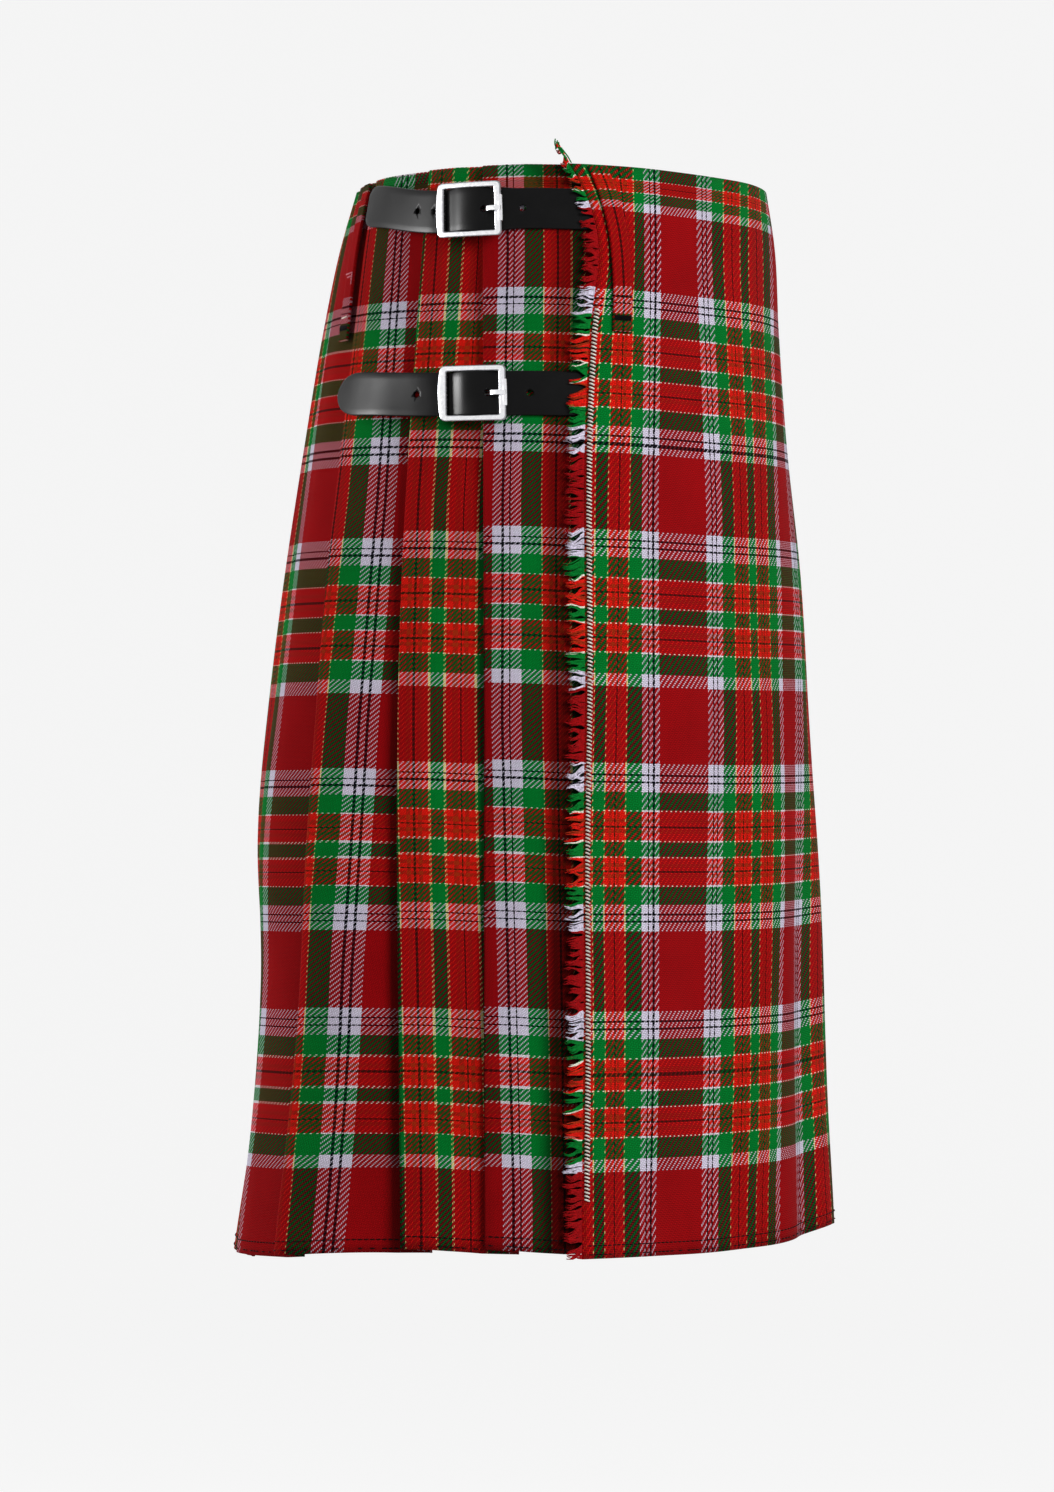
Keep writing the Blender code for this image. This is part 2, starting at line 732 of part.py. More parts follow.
def make_chape(place):
    """A leather tab sewn to the pleats. It wraps the pin bar and is slotted for the prong."""
    inner = PIN_BAR + CHAPE_CLEAR
    outer = inner + CHAPE_THICK
    wrap = [math.radians(angle) for angle in range(-90, 181, 30)]
    profile = [(outer * math.cos(turn), PIN_OUT + outer * math.sin(turn)) for turn in wrap]
    profile += [(inner * math.cos(turn), PIN_OUT + inner * math.sin(turn)) for turn in wrap[::-1]]
    profile += [(ahead, PIN_OUT - inner) for ahead in CHAPE_TAB]
    profile += [(ahead, PIN_OUT - outer) for ahead in CHAPE_TAB[::-1]]
    chape = extruded("chape_" + place.name, place, profile, CHAPE_WIDTH, LEATHER)
    back, front = CHAPE_SLOT_ENDS
    slot = [(back, 0.0), (front, 0.0), (front, CHAPE_SLOT_TOP), (back, CHAPE_SLOT_TOP)]
    combine(chape, extruded("chape_slot_" + place.name, place, slot, CHAPE_SLOT, LEATHER), "DIFFERENCE")


def make_fastenings(over_apron):
    for name, side, down, buckle_forward, tip_forward, tip_rise, tip_length in STRAPS:
        place = Fastening(name, side, down, buckle_forward)
        strap = make_strap(place, tip_forward, tip_rise, tip_length)
        make_frame(place)
        make_prong(place, strap)
        make_chape(place)
        if side < 0:
            back, front = SLIT
            inside, outside = SLIT_DEPTH
            slit = [(back, inside), (front, inside), (front, outside), (back, outside)]
            wide = STRAP_WIDTH + 2 * SLIT_CLEAR
            combine(over_apron, extruded("strap_slit", place, slit, wide, TARTAN), "DIFFERENCE")


for old in list(bpy.data.objects):
    bpy.data.objects.remove(old)
KILT = bpy.data.collections.new("kilt")
CUTTERS = bpy.data.collections.new("cutters")
bpy.context.scene.collection.children.link(KILT)
bpy.context.scene.collection.children.link(CUTTERS)
TARTAN = finish("wool tartan", (0.30, 0.02, 0.02), 0.85)
FRAYED = finish("frayed wool", (0.45, 0.03, 0.03), 0.9)
LEATHER = finish("black bridle leather", (0.012, 0.012, 0.012), 0.45)
NICKEL = finish("nickel plate", (0.82, 0.82, 0.84), 0.15, 1.0)
make_pleats()
make_under_apron()
make_fringe()
make_loops()
make_fastenings(make_over_apron())
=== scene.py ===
"""A tartan kilt as it hangs when worn, dressed over its solid model.

Metres, +Z up. The wearer faces +X and their left is +Y. The origin is the middle of the waist opening.
Cloth follows one ring at every height. A place on that ring is a distance along it from the front
centre, by the right hip, the back and the left hip, and a distance out from it.
"""

import json
import math
import random
from functools import lru_cache

import bmesh
import bpy
import numpy as np
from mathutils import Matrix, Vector

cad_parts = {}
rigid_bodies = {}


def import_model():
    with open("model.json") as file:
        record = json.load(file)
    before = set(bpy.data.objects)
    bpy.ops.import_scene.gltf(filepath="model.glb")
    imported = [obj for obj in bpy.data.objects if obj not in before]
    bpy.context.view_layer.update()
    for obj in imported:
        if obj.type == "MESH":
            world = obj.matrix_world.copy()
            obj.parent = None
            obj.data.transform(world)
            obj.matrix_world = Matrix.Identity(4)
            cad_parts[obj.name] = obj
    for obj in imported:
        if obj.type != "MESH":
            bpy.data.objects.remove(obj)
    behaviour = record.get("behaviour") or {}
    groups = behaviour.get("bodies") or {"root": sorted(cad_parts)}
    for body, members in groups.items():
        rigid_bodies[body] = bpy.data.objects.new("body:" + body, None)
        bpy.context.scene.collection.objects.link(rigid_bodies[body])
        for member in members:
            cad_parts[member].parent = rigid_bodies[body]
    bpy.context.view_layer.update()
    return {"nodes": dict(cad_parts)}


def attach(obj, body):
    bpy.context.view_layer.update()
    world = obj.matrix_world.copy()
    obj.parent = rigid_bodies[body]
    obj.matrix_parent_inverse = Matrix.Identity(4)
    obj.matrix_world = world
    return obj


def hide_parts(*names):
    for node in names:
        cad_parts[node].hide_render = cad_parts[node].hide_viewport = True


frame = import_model()

# ------------------------ Pleated cloth
# Wool tartan, woven in 2/2 twill and laid in deep knife pleats from the right hip round the back.
# The pleats are pressed and sewn down inside the waist, and hang free to a stitched hem.

DROP = 0.613  # waist edge to hem, down the cloth
CLOTH = 0.0012
LAYER_WAIST = 0.0018  # from the middle of one folded layer to the next
LAYER_HEM = 0.0027
HEM_SWING = np.array([
    # forward, how much higher the hem hangs than at the sides
    (-0.190, -0.0050),
    (-0.140, 0.0005),
    (0.014, 0.0015),
    (0.100, 0.0012),
    (0.130, 0.0040),
    (0.158, 0.0105),
])
PLEAT_LIFT = 0.0040  # how much higher the pleats' hem hangs than the apron's
HEM_STAGGER = 0.0025  # a pleat's hidden edge hangs this much lower than its fold
SECTIONS = np.array([
    # down, front reach, back reach, half width, share of the hem plan
    (0.000, 0.1180, 0.1160, 0.1485, 0.00),
    (0.030, 0.1225, 0.1245, 0.1540, 0.05),
    (0.080, 0.1250, 0.1347, 0.1600, 0.15),
    (0.150, 0.1298, 0.1455, 0.1675, 0.35),
    (0.225, 0.1377, 0.1550, 0.1740, 0.60),
    (0.300, 0.1427, 0.1622, 0.1785, 0.80),
    (0.380, 0.1470, 0.1680, 0.1810, 0.92),
    (0.460, 0.1504, 0.1658, 0.1825, 1.00),
    (0.540, 0.1538, 0.1700, 0.1845, 1.00),
    (0.613, 0.1577, 0.1804, 0.1870, 1.00),
])
PLAN = np.array([
    # waist forward, waist out, hem forward, hem out, as shares of the reach and half width
    (1.00, 0.00, 1.00, 0.00),
    (0.92, 0.34, 0.89, 0.27),
    (0.62, 0.68, 0.60, 0.53),
    (0.28, 0.91, 0.25, 0.83),
    (-0.05, 1.00, -0.02, 0.99),
    (-0.40, 0.92, -0.40, 1.00),
    (-0.74, 0.69, -0.80, 0.96),
    (-0.93, 0.36, -0.95, 0.72),
    (-1.00, 0.00, -1.00, 0.00),
])
RING_STEPS = 480
WAY_REACH = 0.002  # the stretch of ring on each side that gives its direction
SEWN_DOWN_TO = 0.140  # the pleats are pressed and sewn as far as this, and hang ever more freely below
FREE_BELOW = 0.460
FIRST_FOLD_X = -0.043
LAST_FOLD_X = 0.014
SEAM_BEFORE_EDGE = 0.030  # the under apron is seamed to the pleats this far ahead of the apron's edge
SEAM_GAP = 0.0003
PLEATS = np.array([
    # waist width, hem width, taken in at the hip, depth of the hidden fold
    (0.0360, 0.0470, -0.004, 0.0170),
    (0.0575, 0.0660, 0.017, 0.0120),
    (0.0375, 0.0600, 0.000, 0.0180),
    (0.0385, 0.0625, 0.000, 0.0170),
    (0.0365, 0.0595, 0.000, 0.0185),
    (0.0380, 0.0620, 0.000, 0.0175),
    (0.0370, 0.0600, 0.000, 0.0180),
    (0.0385, 0.0630, 0.000, 0.0170),
    (0.0370, 0.0595, 0.000, 0.0185),
    (0.0380, 0.0615, 0.000, 0.0175),
])
FIXED_PLEATS = 2  # the first rows keep their own widths, and the rest share what is left
FIRST_DEPTH = 0.0180
RISE_PAST_EDGE = 0.012  # the first panel rises over its hidden fold from this far past the apron's edge
RISE_PAST_FOLD = 0.002
JOIN_PAST_FOLD = 0.006
APRON_EDGE = np.array([
    # down, forward: the over apron's free edge
    (0.000, 0.0045),
    (0.013, 0.0115),
    (0.030, 0.0180),
    (0.050, 0.0210),
    (0.070, 0.0195),
    (0.092, 0.0168),
    (0.120, 0.0150),
    (0.300, 0.0130),
    (0.613, 0.0110),
])
CLOTH_ROWS = 88
EDGE_LIFT = (0.0004, 0.0024, 0.0046, 0.0012)  # how far a pleat's edge stands off the next one at the hem
FIRST_PRESSED = 0.42  # how much thinner the first pleat is pressed
# Shade is painted into the pleated cloth beside the over apron's free edge and beside the first folds
PAINTED_SHADE_BY_APRON = np.array([
    # past the apron's edge, share of the light that the painted shade takes there
    (0.0210, 0.84),
    (0.0240, 0.58),
    (0.0290, 0.14),
    (0.0360, 0.04),
    (0.0460, 0.00),
])
PAINTED_SHADE_BY_FOLD = (0.0, 0.04, 0.22, 0.32, 0.36)  # the same close beside each of the first folds
PAINTED_SHADE_REACH = 0.0200
EDGE_LIFT_REACH = 0.028
PANEL_CROWN = 0.0011
SWAYS = (
    # waves round the cloth, waves down it, where the first starts, height
    (7, 0.6, 0.4, 0.0010),
    (12, -1.3, 2.1, 0.0007),
    (19, 2.2, 4.0, 0.0004),
    (3, 3.1, 1.3, 0.0004),
)
SETT = 0.2649  # one repeat of the tartan
HALF_SETT = 0.1286
WEFT_PLACES = np.array([
    # down the cloth, place in the sett, both in metres
    (0.0000, 0.0430),
    (0.0070, 0.0507),
    (0.0143, 0.0669),
    (0.0205, 0.0786),
    (0.0248, 0.0864),
    (0.0425, 0.1017),
    (0.0759, 0.1344),
    (0.1430, 0.2026),
    (0.2090, 0.2683),
    (0.2760, 0.3342),
    (0.3430, 0.3997),
    (0.4430, 0.4994),
    (0.4760, 0.5306),
    (0.5100, 0.5632),
    (0.5430, 0.5947),
    (0.5760, 0.6265),
    (0.6130, 0.6570),
])
SETT_DOWNS = (0.050, 0.190, 0.315, 0.450, 0.580)  # the heights at which the pattern is set below
FOLD_PLACES = np.array([
    # where the sett stands at each of the first folds' edges, from the waist down
    (-0.0095, -0.0048, -0.0035, -0.0066, -0.0095),
    (0.0238, 0.0268, 0.0261, 0.0247, 0.0237),
    (0.1843, 0.1860, 0.1900, 0.1916, 0.1895),
    (0.1286, 0.1269, 0.1266, 0.1275, 0.1236),
])
FOLD_SCALES = np.array([
    # how far the cloth of those pleats is eased, at the same heights
    (0.94, 1.00, 1.05, 1.02, 1.02),
    (0.95, 0.99, 1.02, 1.06, 1.08),
    (1.12, 1.10, 1.08, 1.07, 1.05),
    (1.00, 1.00, 1.05, 1.15, 1.45),
])
HEM_EASE = 1.06  # the same on the pleats behind them
SLIP_DOWNS = (0.00, 0.15, 0.28, 0.34, 0.41, 0.48, 0.60)
FOLD_SLIPS = np.array([
    # how much lower the weft runs on each pleat, pulled askew by its fold
    (0.0000, 0.0000, 0.0000, -0.0002, -0.0004, -0.0006, -0.0010),
    (-0.0020, -0.0027, -0.0020, -0.0014, -0.0010, -0.0012, -0.0015),
    (-0.0040, -0.0055, -0.0055, -0.0045, -0.0015, 0.0000, 0.0000),
    (-0.0020, -0.0050, -0.0053, -0.0040, -0.0010, -0.0003, 0.0007),
    (-0.0008, -0.0038, -0.0042, -0.0030, -0.0005, 0.0000, 0.0010),
    (-0.0020, -0.0046, -0.0050, -0.0036, -0.0010, -0.0006, -0.0008),
])
# The real yarn is near 0.4 mm, and is drawn this coarse so that the twill shows: coarser on the aprons,
# which are mostly seen turning away
PLEAT_YARN = 0.00070
APRON_YARN = 0.00100


def through(knots, values, at):
    """A smooth curve through the values at the knots, read at the places asked for."""
    at = np.asarray(at, float)
    slopes = np.gradient(values, knots, axis=0)
    i = np.clip(np.searchsorted(knots, at) - 1, 0, len(knots) - 2)
    span = knots[i + 1] - knots[i]
    t = np.clip((at - knots[i]) / span, 0.0, 1.0)
    if values.ndim == 2:
        t = t[:, None]
        span = span[:, None]
    from_value = (2 * t**3 - 3 * t**2 + 1) * values[i] + (t**3 - 2 * t**2 + t) * span * slopes[i]
    to_value = (3 * t**2 - 2 * t**3) * values[i + 1] + (t**3 - t**2) * span * slopes[i + 1]
    return from_value + to_value


def ease(t):
    """0 before 0, 1 after 1, and smooth between."""
    t = np.clip(t, 0.0, 1.0)
    return t * t * (3 - 2 * t)


@lru_cache(maxsize=None)
def ring(down):
    """The ring at one height: its points from the front centre, and the distance along it to each."""
    front, back, width, hem_share = through(SECTIONS[:, 0], SECTIONS[:, 1:], [down])[0]
    half = PLAN[:, :2] * (1 - hem_share) + PLAN[:, 2:] * hem_share
    half[:, 0] *= np.where(half[:, 0] > 0, front, back)
    half[:, 1] *= -width
    loop = np.vstack([half, half[-2:0:-1] * (1, -1)])
    wrapped = np.vstack([loop[-3:], loop, loop[:4]])
    steps = np.linalg.norm(np.diff(wrapped, axis=0), axis=1)
    knots = np.concatenate([[0.0], np.cumsum(steps)])
    places = np.linspace(knots[3], knots[3 + len(loop)], RING_STEPS + 1)
    points = through(knots, wrapped, places)
    along = np.concatenate([[0.0], np.cumsum(np.linalg.norm(np.diff(points, axis=0), axis=1))])
    return points, along


def length_round(down):
    return ring(down)[1][-1]


def distance_at(down, forward, side=1):
    """How far round the ring its right (1) or left (-1) side stands this far forward."""
    points, along = ring(down)
    half = RING_STEPS // 2
    right = np.interp(-np.asarray(forward), -points[: half + 1, 0], along[: half + 1])
    return right if side > 0 else along[-1] - right


def loose(down):
    """How freely the pleats hang: 0 where they are sewn down, 1 where nothing holds them."""
    return float(ease((down - SEWN_DOWN_TO) / (FREE_BELOW - SEWN_DOWN_TO)))


def sway(down, distance):
    """How far hanging cloth waves in and out, the same for every layer at one place."""
    share = np.asarray(distance) / length_round(down)
    wave = sum(
        height * np.sin(2 * math.pi * (round_it * share + down_it * down / DROP) + start)
        for round_it, down_it, start, height in SWAYS
    )
    return wave * (0.15 + 0.85 * loose(down))


def on_ring(down, distances, outs, still=False):
    """Points at distances round the ring and distances out from it, one row of three numbers each."""
    distances = np.asarray(distances, float)
    points, along = ring(down)

    def spots(places):
        places = np.mod(places, along[-1])
        return np.stack([np.interp(places, along, points[:, axis]) for axis in (0, 1)], axis=1)

    spot = spots(distances)
    way = spots(distances + WAY_REACH) - spots(distances - WAY_REACH)
    way /= np.linalg.norm(way, axis=1)[:, None]
    outward = np.stack([way[:, 1], -way[:, 0]], axis=1)
    outward *= np.sign(np.sum(outward * spot, axis=1))[:, None]
    outs = np.asarray(outs, float) + (0.0 if still else sway(down, distances))
    spot = spot + outward * outs[:, None]
    height = through(HEM_SWING[:, 0], HEM_SWING[:, 1], spot[:, 0]) * (down / DROP) ** 2 - down
    return np.column_stack([spot, height])


def apron_edge(down):
    return float(distance_at(down, through(APRON_EDGE[:, 0], APRON_EDGE[:, 1], down)))


def layer(down):
    return LAYER_WAIST + (LAYER_HEM - LAYER_WAIST) * down / DROP


@lru_cache(maxsize=None)
def folds(down):
    """The distance round the ring of each fold's outer edge, and the depth of its hidden fold."""
    spread = (length_round(down) - length_round(0.0)) / (length_round(DROP) - length_round(0.0))
    pitch = PLEATS[:, 0] * (1 - spread) + PLEATS[:, 1] * spread
    pitch -= PLEATS[:, 2] * math.sin(math.pi * down / DROP)
    first = float(distance_at(down, FIRST_FOLD_X))
    last = float(distance_at(down, LAST_FOLD_X, side=-1))
    pitch[FIXED_PLEATS:] *= (last - first - pitch[:FIXED_PLEATS].sum()) / pitch[FIXED_PLEATS:].sum()
    edges = first + np.concatenate([[0.0], np.cumsum(pitch)])
    depths = np.concatenate([[FIRST_DEPTH], PLEATS[:, 3]])
    return edges, depths


def sett_at_folds(down):
    """Where the sett stands at each fold's edge, and how far it is stretched on the panel ahead."""
    edges, _ = folds(down)
    *places, place = [float(np.interp(down, SETT_DOWNS, row)) for row in FOLD_PLACES]
    scales = [float(np.interp(down, SETT_DOWNS, row)) for row in FOLD_SCALES]
    for k in range(len(places), len(edges)):
        if k >= len(scales):
            # These folds run along a warp yarn, so they cover more of the sett higher up
            scales.append(HEM_EASE)
            edges, _ = folds(DROP)
        place -= (edges[k] - edges[k - 1]) / scales[k]
        places.append(place)
    return places, scales


def weft_at(down, fold=None):
    """Where the sett stands down the cloth. The pleats' folds pull it a little up or down."""
    if fold is not None:
        down = down + float(np.interp(down, SLIP_DOWNS, FOLD_SLIPS[fold % len(FOLD_SLIPS)]))
    return float(np.interp(down, *WEFT_PLACES.T))


def pleat_row(down):
    """One row of the folded cloth.

    Each point has its distance, its out, how far across its panel it is, its place in the sett, its fold
    and its painted shade.
    """
    edges, depths = folds(down)
    places, scales = sett_at_folds(down)
    hang_free = loose(down)
    row = []
    for k, edge in enumerate(edges):
        gap = layer(down) * (1.0 if k else 1.0 - FIRST_PRESSED * hang_free)
        bend = gap / 2
        hidden = edge - depths[k]
        if k == 0:
            start = apron_edge(down) - SEAM_BEFORE_EDGE + SEAM_GAP
            rise_from = apron_edge(down) + RISE_PAST_EDGE
        else:
            start = edges[k - 1] - depths[k - 1] + bend + RISE_PAST_FOLD
            rise_from = edges[k - 1] + RISE_PAST_FOLD
        top = edge - bend

        def put(distance, out, across, folded=1):
            """Adds a point. Folded is 1 on the panel that shows and -1 on the layers behind it."""
            if out >= 0.9 * gap:
                out += EDGE_LIFT[min(k, 3)] * hang_free * ease(1 - (edge - distance) / EDGE_LIFT_REACH)
            if folded > 0:
                share = min(max((distance - rise_from) / (edge - rise_from), 0.0), 1.0)
                out += PANEL_CROWN * hang_free * (0.4 if k > 2 else 1.0) * math.sin(math.pi * share)
            # Painted shade, darkest beside the edge that lies over this panel, fainter where sewn down
            if k:
                behind = max(distance - edges[k - 1], 0.0)
                painted_shade = PAINTED_SHADE_BY_FOLD[min(k, 4)] * math.exp(-behind / PAINTED_SHADE_REACH)
                painted_shade *= 0.1 + 0.9 * hang_free
            else:
                painted_shade = float(np.interp(distance - apron_edge(down), *PAINTED_SHADE_BY_APRON.T))
                painted_shade *= 0.7 + 0.3 * hang_free
            place = places[k] + folded * (edge - distance) / scales[k]
            row.append((distance, out, across, place, k, painted_shade))

        for share in np.linspace(0.0, 1.0, 5)[:-1]:
            put(start + (rise_from - start) * share, 0.0, 0.0)
        for share in np.linspace(0.0, 1.0, 11):
            put(rise_from + (hidden - rise_from) * share, 2 * gap * ease(share), share * 0.8)
        for share in (0.35, 0.7):
            put(hidden + (top - hidden) * share, 2 * gap, 0.8 + 0.2 * share)
        for angle in (90, 54, 18, -18, -54, -90):
            turn = math.radians(angle)
            put(top + bend * math.cos(turn), 1.5 * gap + bend * math.sin(turn), 1.0, 1 if angle > 0 else -1)
        for share in (0.35, 0.7):
            put(top + (hidden + bend - top) * share, gap, 1.0 - 0.65 * share, -1)
        for angle in (90, 135, 180, 225, 270):
            turn = math.radians(angle)
            distance = hidden + bend + bend * math.cos(turn)
            put(distance, 0.5 * gap + bend * math.sin(turn), 0.35 if angle < 180 else 0.0, -1)
    end = edges[-1] - depths[-1] + bend + JOIN_PAST_FOLD - SEAM_GAP
    row.append((end, 0.0, 0.0, places[-1] - (edges[-1] - end) / scales[-1], len(edges) - 1, 0.0))
    return np.array(row)


def colour(code):
    """An sRGB hex colour as linear red, green and blue, with full alpha."""
    parts = [int(code[i : i + 2], 16) / 255 for i in (1, 3, 5)]
    return (*(p / 12.92 if p <= 0.04045 else ((p + 0.055) / 1.055) ** 2.4 for p in parts), 1.0)


def feed(tree, node, inputs):
    """Sets a node's inputs, in order or by name, or links them where the value is a socket."""
    for name, value in inputs.items() if isinstance(inputs, dict) else enumerate(inputs):
        if isinstance(value, bpy.types.NodeSocket):
            tree.links.new(value, node.inputs[name])
        else:
            node.inputs[name].default_value = value


def add(tree, kind, inputs=(), out=0, **settings):
    """Adds a node to a tree, with its settings and inputs, and gives back one of its outputs."""
    node = tree.nodes.new(kind if kind.startswith("NodeGroup") else "ShaderNode" + kind)
    for name, value in settings.items():
        setattr(node, name, value)
    feed(tree, node, inputs)
    return node.outputs[out] if node.outputs else None


def start_material(name):
    """A new material with its tree and its one shader, which feeds the output."""
    material = bpy.data.materials.new(name)
    material.use_nodes = True
    return material, material.node_tree, material.node_tree.nodes["Principled BSDF"]


# The sett in millimetres and its yarns, charted once for warp and weft: a white band with two dark
# lines, then green and bright red stripes with pale edges, a half band, a wide red ground, and so on.
WHITE = "#E8E0F4"
DARK = "#101018"
DULL = "#3C200C"
GROUND = "#A80A10"
GREEN = "#00802E"
SCARLET = "#EE1C10"
MIXED = "#B03010"  # scarlet and dark green yarns by turns


def shifted(stripes, by):
    return [(by + place, code) for place, code in stripes]


def make_sett(name, edging):
    """A node group that gives a yarn's colour from its place in the cloth, in metres."""
    band = [(0.0, WHITE), (4.9, DARK), (5.95, WHITE), (8.9, DARK), (9.95, WHITE)]
    stripe = [
        (0.0, edging), (0.95, SCARLET), (4.4, MIXED), (6.6, SCARLET), (8.1, DULL),
        (9.3, SCARLET), (10.8, MIXED), (13.0, SCARLET), (16.45, edging),
    ]
    first = [
        *band, (15.0, GREEN), *shifted(stripe, 25.5), (42.9, GREEN), *shifted(stripe, 50.7),
        (68.1, GREEN), (78.6, WHITE), (86.4, GROUND),
    ]
    second = [
        *shifted(band, 128.6), (143.6, GREEN), *shifted(stripe, 154.1), (171.5, GREEN),
        *shifted(stripe, 179.3), (196.7, GREEN), *shifted(band, 207.2), (222.2, GROUND),
    ]
    tree = bpy.data.node_groups.new(name, "ShaderNodeTree")
    tree.interface.new_socket("Place", in_out="INPUT", socket_type="NodeSocketFloat")
    tree.interface.new_socket("Colour", in_out="OUTPUT", socket_type="NodeSocketColor")
    place = add(tree, "NodeGroupInput")
    repeats = add(tree, "Math", [place, SETT], operation="DIVIDE")
    within = add(tree, "Math", [repeats], operation="FRACT")
    halves = []
    for stripes, low, high in ((first, 0.0, HALF_SETT), (second, HALF_SETT, SETT)):
        share = add(tree, "MapRange", [within, low / SETT, high / SETT, 0.0, 1.0])
        ramp = add(tree, "ValToRGB", [share])
        ramp.node.color_ramp.interpolation = "CONSTANT"
        stops = ramp.node.color_ramp.elements
        while len(stops) < len(stripes):
            stops.new(1.0)
        for stop, (millimetres, code) in zip(stops, stripes):
            stop.position = (millimetres / 1000 - low) / (high - low)
            stop.color = colour(code)
        halves.append(ramp)
    later = add(tree, "Math", [within, HALF_SETT / SETT], operation="GREATER_THAN")
    chosen = add(tree, "Mix", {0: later, 6: halves[0], 7: halves[1]}, data_type="RGBA", out=2)
    add(tree, "NodeGroupOutput", [chosen])
    return tree


WARP_SETT = make_sett("warp_sett", "#EFD98A")
WEFT_SETT = make_sett("weft_sett", "#FFF8E8")


def make_tartan(name, pitch):
    """Wool tartan in 2/2 twill: each yarn passes over two and under two, one step on in each row."""
    material, tree, shader = start_material(name)
    weave = add(tree, "UVMap", uv_map="weave")
    split = add(tree, "SeparateXYZ", [weave]).node.outputs
    yarns = []
    counts = []
    withins = []
    for place, sett in ((split[0], WARP_SETT), (split[1], WEFT_SETT)):
        count = add(tree, "Math", [place, pitch], operation="DIVIDE")
        counts.append(add(tree, "Math", [count], operation="FLOOR"))
        withins.append(add(tree, "Math", [count], operation="FRACT"))
        # Each yarn is one colour all over: the sett's colour at the yarn's middle
        yarn = add(tree, "Math", [counts[-1], 0.5], operation="ADD")
        yarn = add(tree, "Math", [yarn, pitch], operation="MULTIPLY")
        yarns.append(add(tree, "Group", [yarn], node_tree=sett))
    step = add(tree, "Math", [counts[0], counts[1]], operation="ADD")
    quarter = add(tree, "Math", [step, 4.0], operation="FLOORED_MODULO")
    weft_over = add(tree, "Math", [quarter, 1.5], operation="GREATER_THAN")
    over = add(tree, "Mix", {0: weft_over, 6: yarns[0], 7: yarns[1]}, data_type="RGBA", out=2)
    under = add(tree, "Mix", {0: weft_over, 6: yarns[1], 7: yarns[0]}, data_type="RGBA", out=2)
    # How near a spot is to the crown of the yarn that lies on top there, across it and along it
    across = add(tree, "Mix", {0: weft_over, 2: withins[0], 3: withins[1]})
    onward = add(tree, "Mix", {0: weft_over, 2: withins[1], 3: withins[0]})
    second = add(tree, "Math", [quarter, 2.0], operation="FLOORED_MODULO")
    along = add(tree, "Math", [second, onward], operation="ADD")
    crown = 1.0
    for spot, middle, fall in ((across, 0.5, -2.4), (along, 1.0, -0.45)):
        off = add(tree, "Math", [spot, middle], operation="SUBTRACT")
        square = add(tree, "Math", [off, off], operation="MULTIPLY")
        crown = add(tree, "Math", [square, fall, crown], operation="MULTIPLY_ADD")
    # The yarn beneath tints the edges of the one on top, and a pale yarn the least
    paleness = add(tree, "RGBToBW", [over])
    least = add(tree, "MapRange", [paleness, 0.07, 0.16, 0.52, 0.34])
    whitest = add(tree, "MapRange", [paleness, 0.3, 0.8, 0.0, 1.0])
    least = add(tree, "Math", [whitest, -0.28, least], operation="MULTIPLY_ADD")
    low = add(tree, "Math", [whitest, 0.30, 0.35], operation="MULTIPLY_ADD")
    taint = add(tree, "MapRange", [crown, low, 1.0, 1.0, least])
    woven = add(tree, "Mix", {0: taint, 6: over, 7: under}, data_type="RGBA", blend_type="DARKEN", out=2)
    # Wool hairs lie in tufts of 0.7 mm, and dye and nap vary a little over about 35 mm
    hairs = add(tree, "TexNoise", {"Vector": weave, "Scale": 1500.0, "Detail": 2.0})
    patches = add(tree, "TexNoise", {"Vector": weave, "Scale": 28.0, "Detail": 3.0})
    # Hairs and uneven dye vary the tone. Shade is painted into the gaps between the yarns and a little light
    # onto their crowns, and cloth close beside an edge that lies over it gets that edge's shade painted in
    painted_shade_layer = add(tree, "SeparateXYZ", [add(tree, "UVMap", uv_map="painted_shade")])
    shade = 1.0
    for cause, low, high, at_low, at_high in (
        (hairs, 0.3, 0.7, 0.80, 1.12),
        (patches, 0.3, 0.7, 0.90, 1.06),
        # painted shade between the yarns, with a little painted light on their crowns
        (crown, 0.2, 0.9, 0.30, 1.08),
        # painted shade from the edges that lie over the cloth
        (painted_shade_layer, 0.0, 1.0, 1.0, 0.0),
    ):
        part = add(tree, "MapRange", [cause, low, high, at_low, at_high])
        shade = add(tree, "Math", [shade, part], operation="MULTIPLY")
    shaded = add(tree, "VectorMath", {0: woven, "Scale": shade}, operation="SCALE")
    height = add(tree, "Math", [hairs, 0.5, crown], operation="MULTIPLY_ADD")
    bump = add(tree, "Bump", {"Height": height, "Distance": 0.00012, "Strength": 0.5})
    rough = add(tree, "MapRange", [hairs, 0.3, 0.7, 0.74, 0.92])
    looks = {
        "Base Color": shaded, "Roughness": rough, "IOR": 1.45, "Specular IOR Level": 0.03,
        "Sheen Weight": 0.012, "Sheen Roughness": 0.5, "Normal": bump,
    }
    feed(tree, shader, looks)
    return material


TARTAN = make_tartan("wool_twill_tartan", PLEAT_YARN)
APRON_TARTAN = make_tartan("wool_twill_tartan_coarse", APRON_YARN)


def put_in_scene(name, points, faces, material):
    """A smooth piece of one material."""
    mesh = bpy.data.meshes.new(name)
    mesh.from_pydata([tuple(point) for point in points], [], faces)
    mesh.materials.append(material)
    mesh.shade_smooth()
    piece = bpy.data.objects.new(name, mesh)
    bpy.context.scene.collection.objects.link(piece)
    return piece


def chart(piece, name, pairs):
    """A UV map of a piece from one pair of numbers for each of its points."""
    corners = np.empty(len(piece.data.loops), dtype=np.int32)
    piece.data.loops.foreach_get("vertex_index", corners)
    uv = piece.data.uv_layers.new(name=name).uv
    uv.foreach_set("vector", np.asarray(pairs, np.float32)[corners].ravel())


